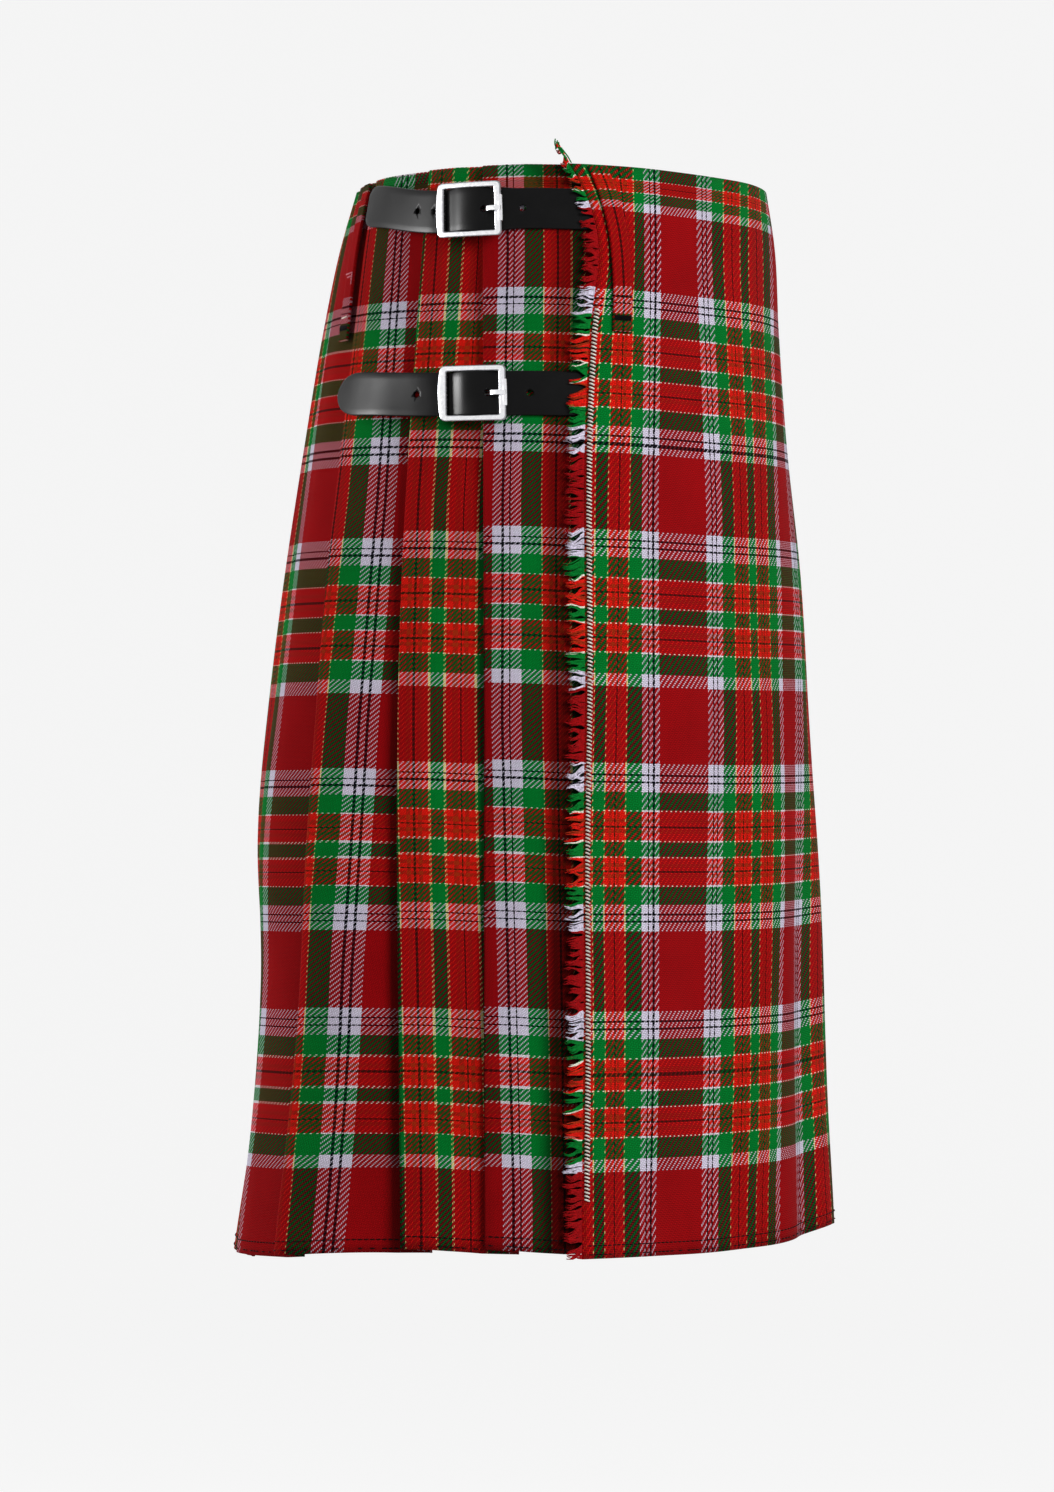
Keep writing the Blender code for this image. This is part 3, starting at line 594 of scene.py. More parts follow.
def cloth_piece(name, rows, places, material, thickness=CLOTH, painted_shade=None):
    """A wall of cloth on a grid of points, rows from the top down, with its place in the weave at each.

    Painted shade is how far each point's colour is darkened for shade that other cloth casts, from 0 to 1.
    """
    corner = np.arange(len(rows) * len(rows[0])).reshape(len(rows), -1)
    quads = np.stack([corner[:-1, :-1], corner[:-1, 1:], corner[1:, 1:], corner[1:, :-1]], axis=2)
    piece = put_in_scene(name, np.concatenate(rows).tolist(), quads.reshape(-1, 4).tolist(), material)
    chart(piece, "weave", np.concatenate(places))
    painted_shade_layer = np.zeros((corner.size, 2))
    if painted_shade is not None:
        painted_shade_layer[:, 0] = np.concatenate(painted_shade)
    chart(piece, "painted_shade", painted_shade_layer)
    solidify = piece.modifiers.new("Cloth thickness", "SOLIDIFY")
    solidify.thickness = thickness
    solidify.offset = 0.0
    return piece


def weave_row(warps, weft):
    """The places in the weave of a row of points that lies along one weft yarn."""
    return np.column_stack([warps, np.full(len(warps), weft)])


def own(piece, slot, *nodes):
    """Makes a piece ride on the garment and stand for the solids it covers. Its slot is not used."""
    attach(piece, "root")
    if nodes:
        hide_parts(*nodes)
    return piece


def hang_pleats(down, row):
    """The points of a row of the folded cloth. Its fold edges hang higher than what they hide."""
    points = on_ring(down, row[:, 0], row[:, 1])
    points[:, 2] += HEM_STAGGER * (row[:, 2] - 0.5) * down / DROP + PLEAT_LIFT * (down / DROP) ** 2
    return points


DOWNS = [float(down) for down in np.linspace(0.0, DROP, CLOTH_ROWS)]
rows = []
places = []
painted_shade = []
for down in DOWNS:
    row = pleat_row(down)
    rows.append(hang_pleats(down, row))
    places.append(np.column_stack([row[:, 3], [weft_at(down, int(fold)) for fold in row[:, 4]]]))
    painted_shade.append(row[:, 5])
pleats = cloth_piece("pleated_cloth", rows, places, TARTAN, painted_shade=painted_shade)
own(pleats, "tartan_wool", "pleats_right", "pleats_back", "pleats_left")
pleated_length = float(np.abs(np.diff(pleat_row(DROP)[:, 0])).sum())

# ------------------------ Under apron
# The flat inner apron of the same cloth, seamed to the first pleat and wrapped across the front.

UNDER_COLUMNS = 70
UNDER_STOPS_SHORT = 0.042  # it ends this far ahead of the last pleat
APRON_FOLDS = (
    # ring distance ahead of the free edge, half width, depth inward, starts this far down
    (0.188, 0.017, 0.0070, 0.26),
    (0.150, 0.020, -0.0025, 0.30),
    (0.330, 0.022, 0.0050, 0.30),
    (0.290, 0.024, -0.0020, 0.34),
)


def apron_fold(down, ahead_of_edge):
    """How far the aprons' soft folds push the cloth in or out."""
    push = 0.0
    for place, half_width, depth, start in APRON_FOLDS:
        grown = ease((down - start) / (DROP - start))
        push = push - depth * grown * np.exp(-(((ahead_of_edge - place) / half_width) ** 2))
    return push


rows = []
places = []
for down in DOWNS:
    edge = apron_edge(down)
    start = folds(down)[0][-1] + UNDER_STOPS_SHORT - length_round(down)
    distances = np.linspace(start, edge - SEAM_BEFORE_EDGE - SEAM_GAP, UNDER_COLUMNS)
    rows.append(on_ring(down, distances, apron_fold(down, edge - distances)))
    places.append(weave_row(edge - distances, weft_at(down)))
under = own(cloth_piece("under_apron_cloth", rows, places, APRON_TARTAN), "tartan_wool", "under_apron")

# ------------------------ Over apron
# The flat outer apron, cut from the same length as the pleats and wrapped over the under apron.
# Its free edge hangs over the right hip, and the left strap comes out through a slit in it.

OVER_COLUMNS = 110
EDGE_LIFT_WAIST = 0.0032  # room for the straps under the free edge
EDGE_LIFT_AT_HEM = 0.0026
APRON_LIFT_REACH = 0.075
EDGE_LIFT_FROM = 0.150  # the lift changes over this stretch down the cloth
EDGE_LIFT_TO = 0.300
EDGE_PLACES = (0.1677, 0.1688, 0.1696, 0.1691, 0.1679)  # the sett at the free edge, from the waist down
SELVEDGE = 0.0038  # the last warp yarns, past that edge, that the fringe hangs from
SELVEDGE_GROWS = ((0.0, 0.03, 0.075), (0.5, 0.7, 1.0))  # down the cloth, and its share there
APRON_PLACES = np.array([
    # place in the sett, and how far forward it stands at each of those heights
    (0.1955, 0.0371, 0.0340, 0.0320, 0.0317, 0.0294),
    (0.2072, 0.0432, 0.0419, 0.0423, 0.0420, 0.0410),
    (0.2222, 0.0530, 0.0516, 0.0525, 0.0515, 0.0511),
    (0.2649, 0.0744, 0.0796, 0.0800, 0.0788, 0.0765),
    (0.2904, 0.0899, 0.0957, 0.0973, 0.0952, 0.0924),
    (0.3156, 0.1047, 0.1086, 0.1123, 0.1104, 0.1066),
    (0.3513, 0.1210, 0.1233, 0.1267, 0.1250, 0.1204),
])


def over_apron_out(down, distance):
    """How far out the over apron lies. Its distances are below 0 to the left of the front centre."""
    last_fold = folds(down)[0][-1] - length_round(down)
    to_edge = apron_edge(down) - distance
    dying = ease((down - EDGE_LIFT_FROM) / (EDGE_LIFT_TO - EDGE_LIFT_FROM))
    lift = EDGE_LIFT_WAIST + (EDGE_LIFT_AT_HEM - EDGE_LIFT_WAIST) * dying
    rise = ease((distance - last_fold) / UNDER_STOPS_SHORT)
    return layer(down) * rise + lift * ease(1 - to_edge / APRON_LIFT_REACH) + apron_fold(down, to_edge)


FRONT_PLACE = 0.3935  # the sett past the next red ground, which is woven narrow
FRONT_WIDTHS = (0.0190, 0.0185, 0.0150, 0.0180, 0.0245)
FRONT_GAPS = [
    # round the ring between the last two of those places
    float(distance_at(down, APRON_PLACES[-2, 1 + i]) - distance_at(down, APRON_PLACES[-1, 1 + i]))
    for i, down in enumerate(SETT_DOWNS)
]


def apron_places(down, distances):
    """Where the sett stands at distances round the ring."""
    forward = np.array([np.interp(down, SETT_DOWNS, row) for row in APRON_PLACES[:-1, 1:]])
    knots = np.concatenate([[apron_edge(down)], distance_at(down, forward)])
    for widths in (FRONT_GAPS, FRONT_WIDTHS):
        knots = np.append(knots, knots[-1] - np.interp(down, SETT_DOWNS, widths))
    values = [np.interp(down, SETT_DOWNS, EDGE_PLACES), *APRON_PLACES[:, 0], FRONT_PLACE]
    inside = np.interp(-distances, -knots, values)
    inside = np.where(distances > knots[0], values[0] + knots[0] - distances, inside)
    return np.where(distances < knots[-1], values[-1] + knots[-1] - distances, inside)


def over_apron_start(down):
    """Where the over apron is joined to the last length of pleats, behind their last fold."""
    edges, depths = folds(down)
    return edges[-1] - depths[-1] + layer(down) / 2 + JOIN_PAST_FOLD - length_round(down)


rows = []
places = []
for down in DOWNS:
    edge = apron_edge(down)
    selvedge = SELVEDGE * float(np.interp(down, *SELVEDGE_GROWS))
    distances = np.append(np.linspace(over_apron_start(down), edge, OVER_COLUMNS), edge + selvedge)
    rows.append(on_ring(down, distances, over_apron_out(down, np.minimum(distances, edge))))
    places.append(weave_row(apron_places(down, distances), weft_at(down)))
over = own(cloth_piece("over_apron_cloth", rows, places, APRON_TARTAN), "tartan_wool", "over_apron")

# ------------------------ Fringe
# The over apron's free edge is frayed: weft ends stand out past the last warp yarns, combed and
# a little matted. A zigzag of pale thread holds the last warp yarns.

FRINGE_THREADS = 1150
FRINGE_TOP = -0.0120
FRINGE_FOOT = 0.0006  # the last end leaves the cloth this far above the hem
FRINGE_LENGTH = 0.0124
FRINGE_GROWS = ((-0.012, 0.0, 0.03, 0.075), (0.15, 0.5, 0.75, 1.0))  # down the cloth, and its share there
TOP_LEAN = 0.0080 / 0.0120  # how far it leans back for each step above the waist edge
TUFT_ENDS = 16
TUFT_TIP = (-0.0032, 0.0122)  # forward, up
TUFT_PLACE = 0.0200  # the place in the sett that gives the tuft its colour
YARN_RADIUS = 0.00046
YARN_SWELLS = (0.9, 1.1, 1.05, 1.0, 0.8, 0.4)  # of its radius, from root to tip
TUFT_SWELLS = (1.0, 1.2, 1.1, 0.5)
YARN_ROOT = SELVEDGE - 0.0012  # the ends leave the cloth under its last warp yarns
ZIGZAG_TOP = 0.082
ZIGZAG_END = 0.580
ZIGZAG_STEP = 0.00210
ZIGZAG_WIDE = 0.0030
ZIGZAG_SLANT = 0.0010
ZIGZAG_FROM = -0.0002  # where its stitches start, past the edge
ZIGZAG_OUT = (0.0011, 0.0015, 0.0011)  # how far out a stitch lies at its foot, middle and head
ZIGZAG_RADII = (0.00034, 0.00042, 0.00034)


def tube_faces(rings, around, base=0, joined=False):
    """The faces of a tube whose points run round it ring by ring, capped or with its ends joined."""
    faces = []
    for i in range(rings if joined else rings - 1):
        here = base + i * around
        onward = base + (i + 1) % rings * around
        for side in range(around):
            turned = (side + 1) % around
            faces.append((here + side, here + turned, onward + turned, onward + side))
    if not joined:
        faces.append(tuple(reversed(range(base, base + around))))
        faces.append(tuple(base + (rings - 1) * around + side for side in range(around)))
    return faces


def yarn_tubes(name, yarns, material, sides=4):
    """Many round yarns in one piece: each has its points, their radii and its place in the weave."""
    points = []
    faces = []
    weave = []
    for line, radii, place in yarns:
        faces += tube_faces(len(line), sides, len(points))
        for i, (point, radius) in enumerate(zip(line, radii)):
            way = (line[min(i + 1, len(line) - 1)] - line[max(i - 1, 0)]).normalized()
            flat = way.orthogonal().normalized()
            other = way.cross(flat)
            for side in range(sides):
                turn = 2 * math.pi * side / sides
                points.append(point + radius * (flat * math.cos(turn) + other * math.sin(turn)))
                weave.append(place)
    piece = put_in_scene(name, points, faces, material)
    chart(piece, "weave", weave)
    return piece


def plain_tubes(name, lines, radii, material, sides):
    """Round threads or wires of one colour, all with the same radii from end to end."""
    return yarn_tubes(name, [(line, radii, (0.0, 0.0)) for line in lines], material, sides)


def make_frayed():
    """Loose wool yarn ends, each in its own weft colour, whose tone varies with their hairs."""
    material, tree, shader = start_material("frayed_wool_yarn")
    weave = add(tree, "UVMap", uv_map="weave")
    split = add(tree, "SeparateXYZ", [weave]).node.outputs
    yarn = add(tree, "Group", [split[1]], node_tree=WEFT_SETT)
    spot = add(tree, "TexCoord", out="Object")
    # Loose hairs, in tufts of 1.1 mm
    hairs = add(tree, "TexNoise", {"Vector": spot, "Scale": 900.0, "Detail": 2.0})
    shade = add(tree, "MapRange", [hairs, 0.3, 0.7, 0.60, 1.15])
    shaded = add(tree, "VectorMath", {0: yarn, "Scale": shade}, operation="SCALE")
    bump = add(tree, "Bump", {"Height": hairs, "Distance": 0.0002, "Strength": 0.6})
    looks = {
        "Base Color": shaded, "Roughness": 0.88, "IOR": 1.45, "Specular IOR Level": 0.08,
        "Sheen Weight": 0.04, "Sheen Roughness": 0.5, "Normal": bump,
    }
    feed(tree, shader, looks)
    return material


FRAYED = make_frayed()


def fringe_spot(down, past, out):
    """A place past the apron's edge. Above the waist edge it leans back to the top corner."""
    on_cloth = max(down, 0.0)
    above = min(down, 0.0)
    edge = apron_edge(on_cloth)
    distance = edge + past * float(np.interp(down, *FRINGE_GROWS))
    point = Vector(on_ring(on_cloth, [distance], [out + float(over_apron_out(on_cloth, edge))])[0])
    return point + Vector((TOP_LEAN * above, 0.0, -above))


chance = random.Random(7)
yarns = []
clump_end = FRINGE_TOP
for n in range(FRINGE_THREADS):
    root = FRINGE_TOP + (DROP - FRINGE_FOOT - FRINGE_TOP) * (n + 0.5) / FRINGE_THREADS
    if root > clump_end:
        # Ends cling in clumps, each with its own reach down the edge, sag, length, curl and wave
        clump_end = root + chance.uniform(0.0018, 0.0048)
        clump_at = (root + clump_end) / 2
        clump_lean = chance.choice((0.0, 0.0, 0.0006, 0.0014, 0.0030)) + chance.uniform(-0.0010, 0.0008)
        clump_length = chance.uniform(0.82, 1.04)
        clump_curl = chance.uniform(-0.0012, 0.0016)
        clump_wave = chance.uniform(-0.0011, 0.0011)
    long = FRINGE_LENGTH * clump_length * chance.uniform(0.84, 1.04)
    pull = chance.uniform(0.25, 0.72)
    tip_down = root + (clump_at - root) * pull + clump_lean + chance.uniform(-0.0005, 0.0005)
    curl = clump_curl + chance.uniform(-0.0006, 0.0006)
    line = []
    for share in (0.0, 0.18, 0.36, 0.55, 0.78, 1.0):
        wave = clump_wave * math.sin(2 * math.pi * share) + 0.0002 * math.sin(7 * share + n)
        down = root + (tip_down - root) * float(ease(share * 1.2)) + wave
        down = min(max(down, FRINGE_TOP - 0.002), DROP - FRINGE_FOOT / 2)
        line.append(fringe_spot(down, YARN_ROOT + long * share, curl * share * share))
    colour_place = weft_at(max(root, 0.0)) + min(root, 0.0) * 1.5
    yarns.append((line, [YARN_RADIUS * swell for swell in YARN_SWELLS], (0.0, colour_place)))
top_corner = Vector((TUFT_TIP[0], fringe_spot(FRINGE_TOP, 0.004, 0.0).y, TUFT_TIP[1]))
for n in range(TUFT_ENDS):
    # The topmost ends are matted into one tuft
    start = fringe_spot(-0.0005 - 0.0009 * n, chance.uniform(0.001, 0.006), chance.uniform(0.0, 0.001))
    tip = top_corner + Vector([chance.uniform(-0.0006, 0.0006) for _ in range(3)])
    tip.z -= 0.0003 * n
    line = []
    for share in (0.0, 0.3, 0.6, 1.0):
        line.append(start.lerp(tip, share) + Vector((0.0006 * math.sin(4 * share + n), 0.0, 0.0)))
    yarns.append((line, [YARN_RADIUS * swell for swell in TUFT_SWELLS], (0.0, TUFT_PLACE)))
fringe = own(yarn_tubes("fringe_yarns", yarns, FRAYED), "frayed_wool", "apron_fringe")


def make_sewing_thread(name, light, dark, shine):
    """Spun polyester sewing thread: smooth, slightly glossy, with its two plies showing as a fleck."""
    material, tree, shader = start_material(name)
    spot = add(tree, "TexCoord", out="Object")
    # The plies turn once in about 0.8 mm
    plies = add(tree, "TexNoise", {"Vector": spot, "Scale": 1200.0, "Detail": 1.0})
    fleck = add(tree, "MapRange", [plies, 0.35, 0.65, 0.0, 1.0])
    tone = add(tree, "Mix", {0: fleck, 6: colour(dark), 7: colour(light)}, data_type="RGBA", out=2)
    bump = add(tree, "Bump", {"Height": plies, "Distance": 0.0001, "Strength": 0.4})
    looks = {
        "Base Color": tone, "Roughness": 0.55, "Specular IOR Level": shine, "Normal": bump,
    }
    feed(tree, shader, looks)
    return material


PALE_THREAD = make_sewing_thread("cream_sewing_thread", "#FFFDF6", "#E4DCCB", 0.3)
BLACK_THREAD = make_sewing_thread("black_sewing_thread", "#101012", "#040405", 0.05)
for name, material, lag, swell in (
    # pale stitches, and finer dark ones halfway between them
    ("fringe_zigzag", PALE_THREAD, 0.0, 1.4),
    ("fringe_zigzag_dark", BLACK_THREAD, 0.5, 0.5),
):
    stitches = []
    down = ZIGZAG_TOP + lag * ZIGZAG_STEP
    while down < ZIGZAG_END:
        stitch = []
        for share, out in zip((0.0, 0.5, 1.0), ZIGZAG_OUT):
            past = ZIGZAG_FROM + ZIGZAG_WIDE * share
            stitch.append(fringe_spot(down + ZIGZAG_SLANT * (1 - share), past, out))
        stitches.append(stitch)
        down += ZIGZAG_STEP
    own(plain_tubes(name, stitches, [radius * swell for radius in ZIGZAG_RADII], material, 5), "frayed_wool")

# ------------------------ Hem stitching
# The hem is turned up twice and machine sewn with black thread, once along the turning and once,
# less evenly, close to the edge. The rows were sewn flat, so they follow the cloth into its folds.

STITCH_PITCH = 0.0034
STITCH_LONG = 0.0027
STITCH_RADIUS = 0.00038
STITCH_RISE = 0.0003  # how far a stitch's middle rises over its ends
HEM_STEPS = 160  # along the apron's hem
HEM_ROWS = (
    # above the hem, share of the stitches that show
    (0.0074, 1.0),
    (0.0024, 0.55),
)


def dashes(line, share):
    """Short stitches laid along a line on the outer face of a sheet, dipping into it at both ends."""
    steps = np.linalg.norm(np.diff(line, axis=0), axis=1)
    along = np.concatenate([[0.0], np.cumsum(steps)])
    made = []
    for start in np.arange(0.002, along[-1] - STITCH_PITCH, STITCH_PITCH):
        if chance.random() > share:
            continue
        stitch = []
        for part, rise in ((0.0, 0.0), (0.5, STITCH_RISE), (1.0, 0.0)):
            at = start + part * STITCH_LONG
            spot, ahead = np.transpose([np.interp((at, at + 0.0004), along, axis) for axis in line.T])
            way = (ahead - spot)[:2]
            away = np.array([-way[1], way[0], 0.0]) / max(float(np.linalg.norm(way)), 1e-9)
            stitch.append(Vector(spot + away * (CLOTH / 2 + rise)))
        made.append(stitch)
    return made


stitches = []
for above, share in HEM_ROWS:
    down = DROP - above
    stitches += dashes(hang_pleats(down, pleat_row(down)), share)
    distances = np.linspace(over_apron_start(down), apron_edge(down) + SELVEDGE, HEM_STEPS)
    stitches += dashes(on_ring(down, distances, over_apron_out(down, distances)), share)
radii = [STITCH_RADIUS * 0.7, STITCH_RADIUS, STITCH_RADIUS * 0.7]
own(plain_tubes("hem_stitches", stitches, radii, BLACK_THREAD, 5), "tartan_wool")

# ------------------------ Straps
# Black bridle leather, cut 25 mm wide, dyed and waxed, with its edges rounded over. The two right
# straps are sewn under the apron's edge, and the left one comes out through the slit.

STRAP_WIDTH = 0.0250
STRAP_THICK = 0.0024
STRAPS = [
    # name, side, down, buckle forward, tip forward, tip rise, length of the rounded tip
    ("upper", 1, 0.0255, -0.0475, -0.1055, 0.0090, 0.009),
    ("lower", 1, 0.1300, -0.0470, -0.1210, 0.0035, 0.020),
    ("left", -1, 0.0300, -0.0475, -0.0930, 0.0060, 0.012),
]
STRAP_COURSE = [
    # ahead, middle of the leather
    (0.0800, 0.0022),
    (0.0580, 0.0022),
    (0.0460, 0.0029),
    (0.0360, 0.0046),
    (0.0280, 0.0058),
    (0.0220, 0.0063),
]
LEFT_STRAP_COURSE = [
    (0.1032, -0.0006),
    (0.0940, -0.0015),
    (0.0870, -0.0017),
    (0.0820, -0.0009),
    (0.0680, 0.0038),
    (0.0635, 0.0058),
    (0.0580, 0.0063),
    (0.0400, 0.0063),
    (0.0220, 0.0063),
]
COURSE_THROUGH_BUCKLE = [
    (0.0168, 0.0070),
    (0.0110, 0.0090),
    (0.0055, 0.0115),
    (0.0000, 0.0124),
    (-0.0055, 0.0117),
    (-0.0110, 0.0094),
    (-0.0168, 0.0079),
    (-0.0240, 0.0079),
    (-0.0310, 0.0076),
    (-0.0420, 0.0068),
    (-0.0950, 0.0066),
]
SLIT = (0.0705, 0.0850)  # ahead of the left buckle
SLIT_DEPTH = (-0.0030, 0.0060)
SLIT_CLEAR = 0.0005
EDGE_ROUND = 0.0008
STATION_STEP = 0.0022
BLUNT_TIP = 0.55  # how wide the upper strap's tip is cut, as a share of the strap
WORN_NARROW = 0.07  # how much narrower that strap is ahead of its buckle
HOLE_SIDES = 20
HOLE_DEPTH = 0.003
STRAP_ROOT_UNDER = 0.0140  # the right straps start this far behind the apron's edge
STRAP_ROOT_GAP = 0.0009
FRAME_LONG = 0.0338
HOLE = (0.0019, 0.0019)  # half length, half width
WORN_HOLE = (0.0011, 0.0017)
STRAP_HOLES = {
    # how far ahead of the buckle
    "upper": {0.0281: HOLE, 0.0082: HOLE, -0.0228: WORN_HOLE, -0.0346: HOLE},
    "lower": {0.0298: HOLE, 0.0082: HOLE, -0.0335: HOLE},
    "left": {0.0290: HOLE, 0.0082: HOLE, -0.0310: HOLE},
}


class Fastening:
    """The place of a strap and its buckle. Its points are ahead of the buckle, up, and out of the ring."""

    def __init__(self, name, side, down, buckle_forward):
        self.name = name
        self.side = side
        self.down = down
        self.forward = buckle_forward

    def middle(self, down):
        return float(distance_at(down, self.forward, self.side))

    def point(self, ahead, up, out):
        down = self.down - up
        return Vector(on_ring(down, [self.middle(down) - ahead * self.side], [out], still=True)[0])

    def ahead_of(self, distance):
        return (self.middle(self.down) - distance) * self.side


def mesh_piece(name, points, faces, material):
    """A piece whose faces are all turned outward."""
    piece = put_in_scene(name, points, faces, material)
    shape = bmesh.new()
    shape.from_mesh(piece.data)
    bmesh.ops.recalc_face_normals(shape, faces=shape.faces)
    shape.to_mesh(piece.data)
    shape.free()
    return piece


def cut(piece, cutter):
    """Takes one closed shape out of another, and leaves the plain mesh."""
    boolean = piece.modifiers.new("Cut", "BOOLEAN")
    boolean.object = cutter
    boolean.solver = "EXACT"
    graph = bpy.context.evaluated_depsgraph_get()
    mesh = bpy.data.meshes.new_from_object(piece.evaluated_get(graph), depsgraph=graph)
    piece.modifiers.clear()
    piece.data = mesh
    bpy.data.objects.remove(cutter)


def make_leather():
    """Bridle leather: dyed through, waxed and slicked, so it is near black with a soft broad shine."""
    material, tree, shader = start_material("bridle_leather")
    spot = add(tree, "TexCoord", out="Object")
    # Grain of 0.7 mm, dye that clouds over 8 mm, and places that hands have polished, near 30 mm across
    cells = add(tree, "TexVoronoi", {"Vector": spot, "Scale": 1400.0})
    cloudy = add(tree, "TexNoise", {"Vector": spot, "Scale": 120.0, "Detail": 4.0})
    handled = add(tree, "TexNoise", {"Vector": spot, "Scale": 35.0, "Detail": 2.0})
    dye = add(tree, "Mix", {0: cloudy, 6: colour("#050505"), 7: colour("#0C0C0D")}, data_type="RGBA", out=2)
    rough = add(tree, "MapRange", [handled, 0.3, 0.7, 0.30, 0.46])
    grain = add(tree, "Math", [cells, 0.6, cloudy], operation="MULTIPLY_ADD")
    bump = add(tree, "Bump", {"Height": grain, "Distance": 0.00012, "Strength": 0.30})
    looks = {
        "Base Color": dye, "Roughness": rough, "IOR": 1.5, "Specular IOR Level": 0.10,
        "Normal": bump,
    }
    feed(tree, shader, looks)
    return material


LEATHER = make_leather()


def strap_section(half):
    """A strap's cut across it, with its edges rounded over: places up and out, in order round it."""
    corner = EDGE_ROUND
    section = []
    for side_up, side_out, start in ((1, 1, 0), (-1, 1, 90), (-1, -1, 180), (1, -1, 270)):
        for turn in (0, 45, 90):
            angle = math.radians(start + turn)
            up = side_up * (half - corner) + corner * math.cos(angle)
            section.append((up, side_out * (STRAP_THICK / 2 - corner) + corner * math.sin(angle)))
        if side_up == side_out:
            across = np.linspace(half - corner, corner - half, 8)[1:-1] * side_up
            section += [(float(up), side_out * STRAP_THICK / 2) for up in across]
    return section


FASTENINGS = []
for name, side, down, buckle_forward, tip_forward, tip_rise, tip_length in STRAPS:
    place = Fastening(name, side, down, buckle_forward)
    FASTENINGS.append(place)
    tip = place.ahead_of(float(distance_at(down, tip_forward, side)))
    if side > 0:
        root = place.ahead_of(apron_edge(down) - STRAP_ROOT_UNDER)
        start = STRAP_COURSE
    else:
        root = place.ahead_of(folds(down)[0][-1] + UNDER_STOPS_SHORT - STRAP_ROOT_GAP)
        start = LEFT_STRAP_COURSE
    course = np.array(sorted(start + COURSE_THROUGH_BUCKLE))

    def middle_of_strap(ahead):
        """How far up and out the middle of the leather lies."""
        up = tip_rise * float(ease((-FRAME_LONG / 2 - ahead) / (-FRAME_LONG / 2 - tip)))
        return up, float(through(course[:, 0], course[:, 1], [ahead])[0])

    stations = list(np.arange(root, tip + tip_length, -STATION_STEP))
    stations += [tip + tip_length * (1 - math.sin(turn)) for turn in np.linspace(0.0, math.pi / 2, 10)]
    points = []
    for ahead in stations:
        from_tip = (ahead - tip) / tip_length
        narrow = 1.0 if from_tip >= 1 else max(0.10, math.sqrt(max(1 - (1 - from_tip) ** 2, 0.0)))
        if name == "upper":
            if from_tip < 1:
                narrow = BLUNT_TIP + (1 - BLUNT_TIP) * narrow
            narrow *= 1.0 - WORN_NARROW * float(ease((ahead - 0.014) / 0.012))
        rise, out = middle_of_strap(ahead)
        section = strap_section(STRAP_WIDTH / 2 * narrow)
        points += [place.point(ahead, rise + up, out + off) for up, off in section]
    faces = tube_faces(len(stations), len(section))
    strap = mesh_piece("strap_leather_" + name, points, faces, LEATHER)
    for ahead, (half_long, half_wide) in STRAP_HOLES[name].items():
        rise, out = middle_of_strap(ahead)
        hole = []
        for depth in (-HOLE_DEPTH, HOLE_DEPTH):
            for turn in np.linspace(0.0, 2 * math.pi, HOLE_SIDES, endpoint=False):
                up = rise + half_wide * math.sin(turn)
                hole.append(place.point(ahead + half_long * math.cos(turn), up, out + depth))
        cut(strap, mesh_piece("hole", hole, tube_faces(2, HOLE_SIDES), LEATHER))
    own(strap, "bridle_leather", "strap_" + name)

slit = []
half = STRAP_WIDTH / 2 + SLIT_CLEAR
inner, outer = SLIT_DEPTH
for ahead in (SLIT[0], (SLIT[0] + SLIT[1]) / 2, SLIT[1]):
    for up, out in ((-half, inner), (half, inner), (half, outer), (-half, outer)):
        slit.append(FASTENINGS[2].point(ahead, up, out))
cut(over, mesh_piece("slit", slit, tube_faces(3, 4), APRON_TARTAN))

# ------------------------ Buckles
# Cast frames with flat faces and softened edges, nickel plated and polished. A wire prong turns on
# the pin bar, and a leather tab holds that bar to the pleats.

FRAME_OUTER = (0.0181, 0.0157, 0.0025, 0.0014)  # half length, half height, corner, how far its end swells
FRAME_INNER = (0.0145, 0.0124, 0.0009)
FRAME_BACK = 0.0098
FRAME_FACE = 0.0126
FRAME_SOFT = 0.0007  # width of the softened edges
PIN_BAR = 0.0012
PIN_OUT = 0.0076
PIN_COURSE = [(0.0146, 0.0105), (0.0120, 0.0076), (-0.0120, 0.0076), (-0.0146, 0.0105)]
PRONG_EYE = 0.0025
PRONG_WIRE = 0.0010
PRONG_SOFT = 0.0003
PRONG_WIDE = 0.0028
PRONG_THICK = 0.0014
ROLLER_UPS = (-0.0076, -0.0072, 0.0, 0.0072, 0.0076)
ROLLER_RADII = (0.0012, 0.0016, 0.0016, 0.0016, 0.0012)
ROLLER_AHEAD = 0.0173
ROLLER_OUT = 0.0112
PRONG_COURSE = [
    # ahead, out
    (0.0020, 0.0051),
    (0.0052, 0.0063),
    (0.0082, 0.0086),
    (0.0104, 0.0124),
    (0.0130, 0.0137),
    (0.0184, 0.0137),
]


def make_nickel(name, low, high):
    """Polished nickel plate: bright and a little warm, with fine rub marks that soften its mirror."""
    material, tree, shader = start_material(name)
    spot = add(tree, "TexCoord", out="Object")
    # Rub marks are finer than 1.4 mm
    marks = add(tree, "TexNoise", {"Vector": spot, "Scale": 700.0, "Detail": 3.0})
    rough = add(tree, "MapRange", [marks, 0.3, 0.7, 0.16, 0.30])
    tone = add(tree, "Mix", {0: marks, 6: colour(low), 7: colour(high)}, data_type="RGBA", out=2)
    bump = add(tree, "Bump", {"Height": marks, "Distance": 0.00004, "Strength": 0.15})
    feed(tree, shader, {"Base Color": tone, "Metallic": 1.0, "Roughness": rough, "Normal": bump})
    return material


NICKEL = make_nickel("polished_nickel_plate", "#E4E4E8", "#F8F8FA")
PAINTED_SHADE_NICKEL = make_nickel("nickel_plate_painted_edge_shade", "#8F8F94", "#B2B2B6")  # greyer on the softened edges, as painted shade
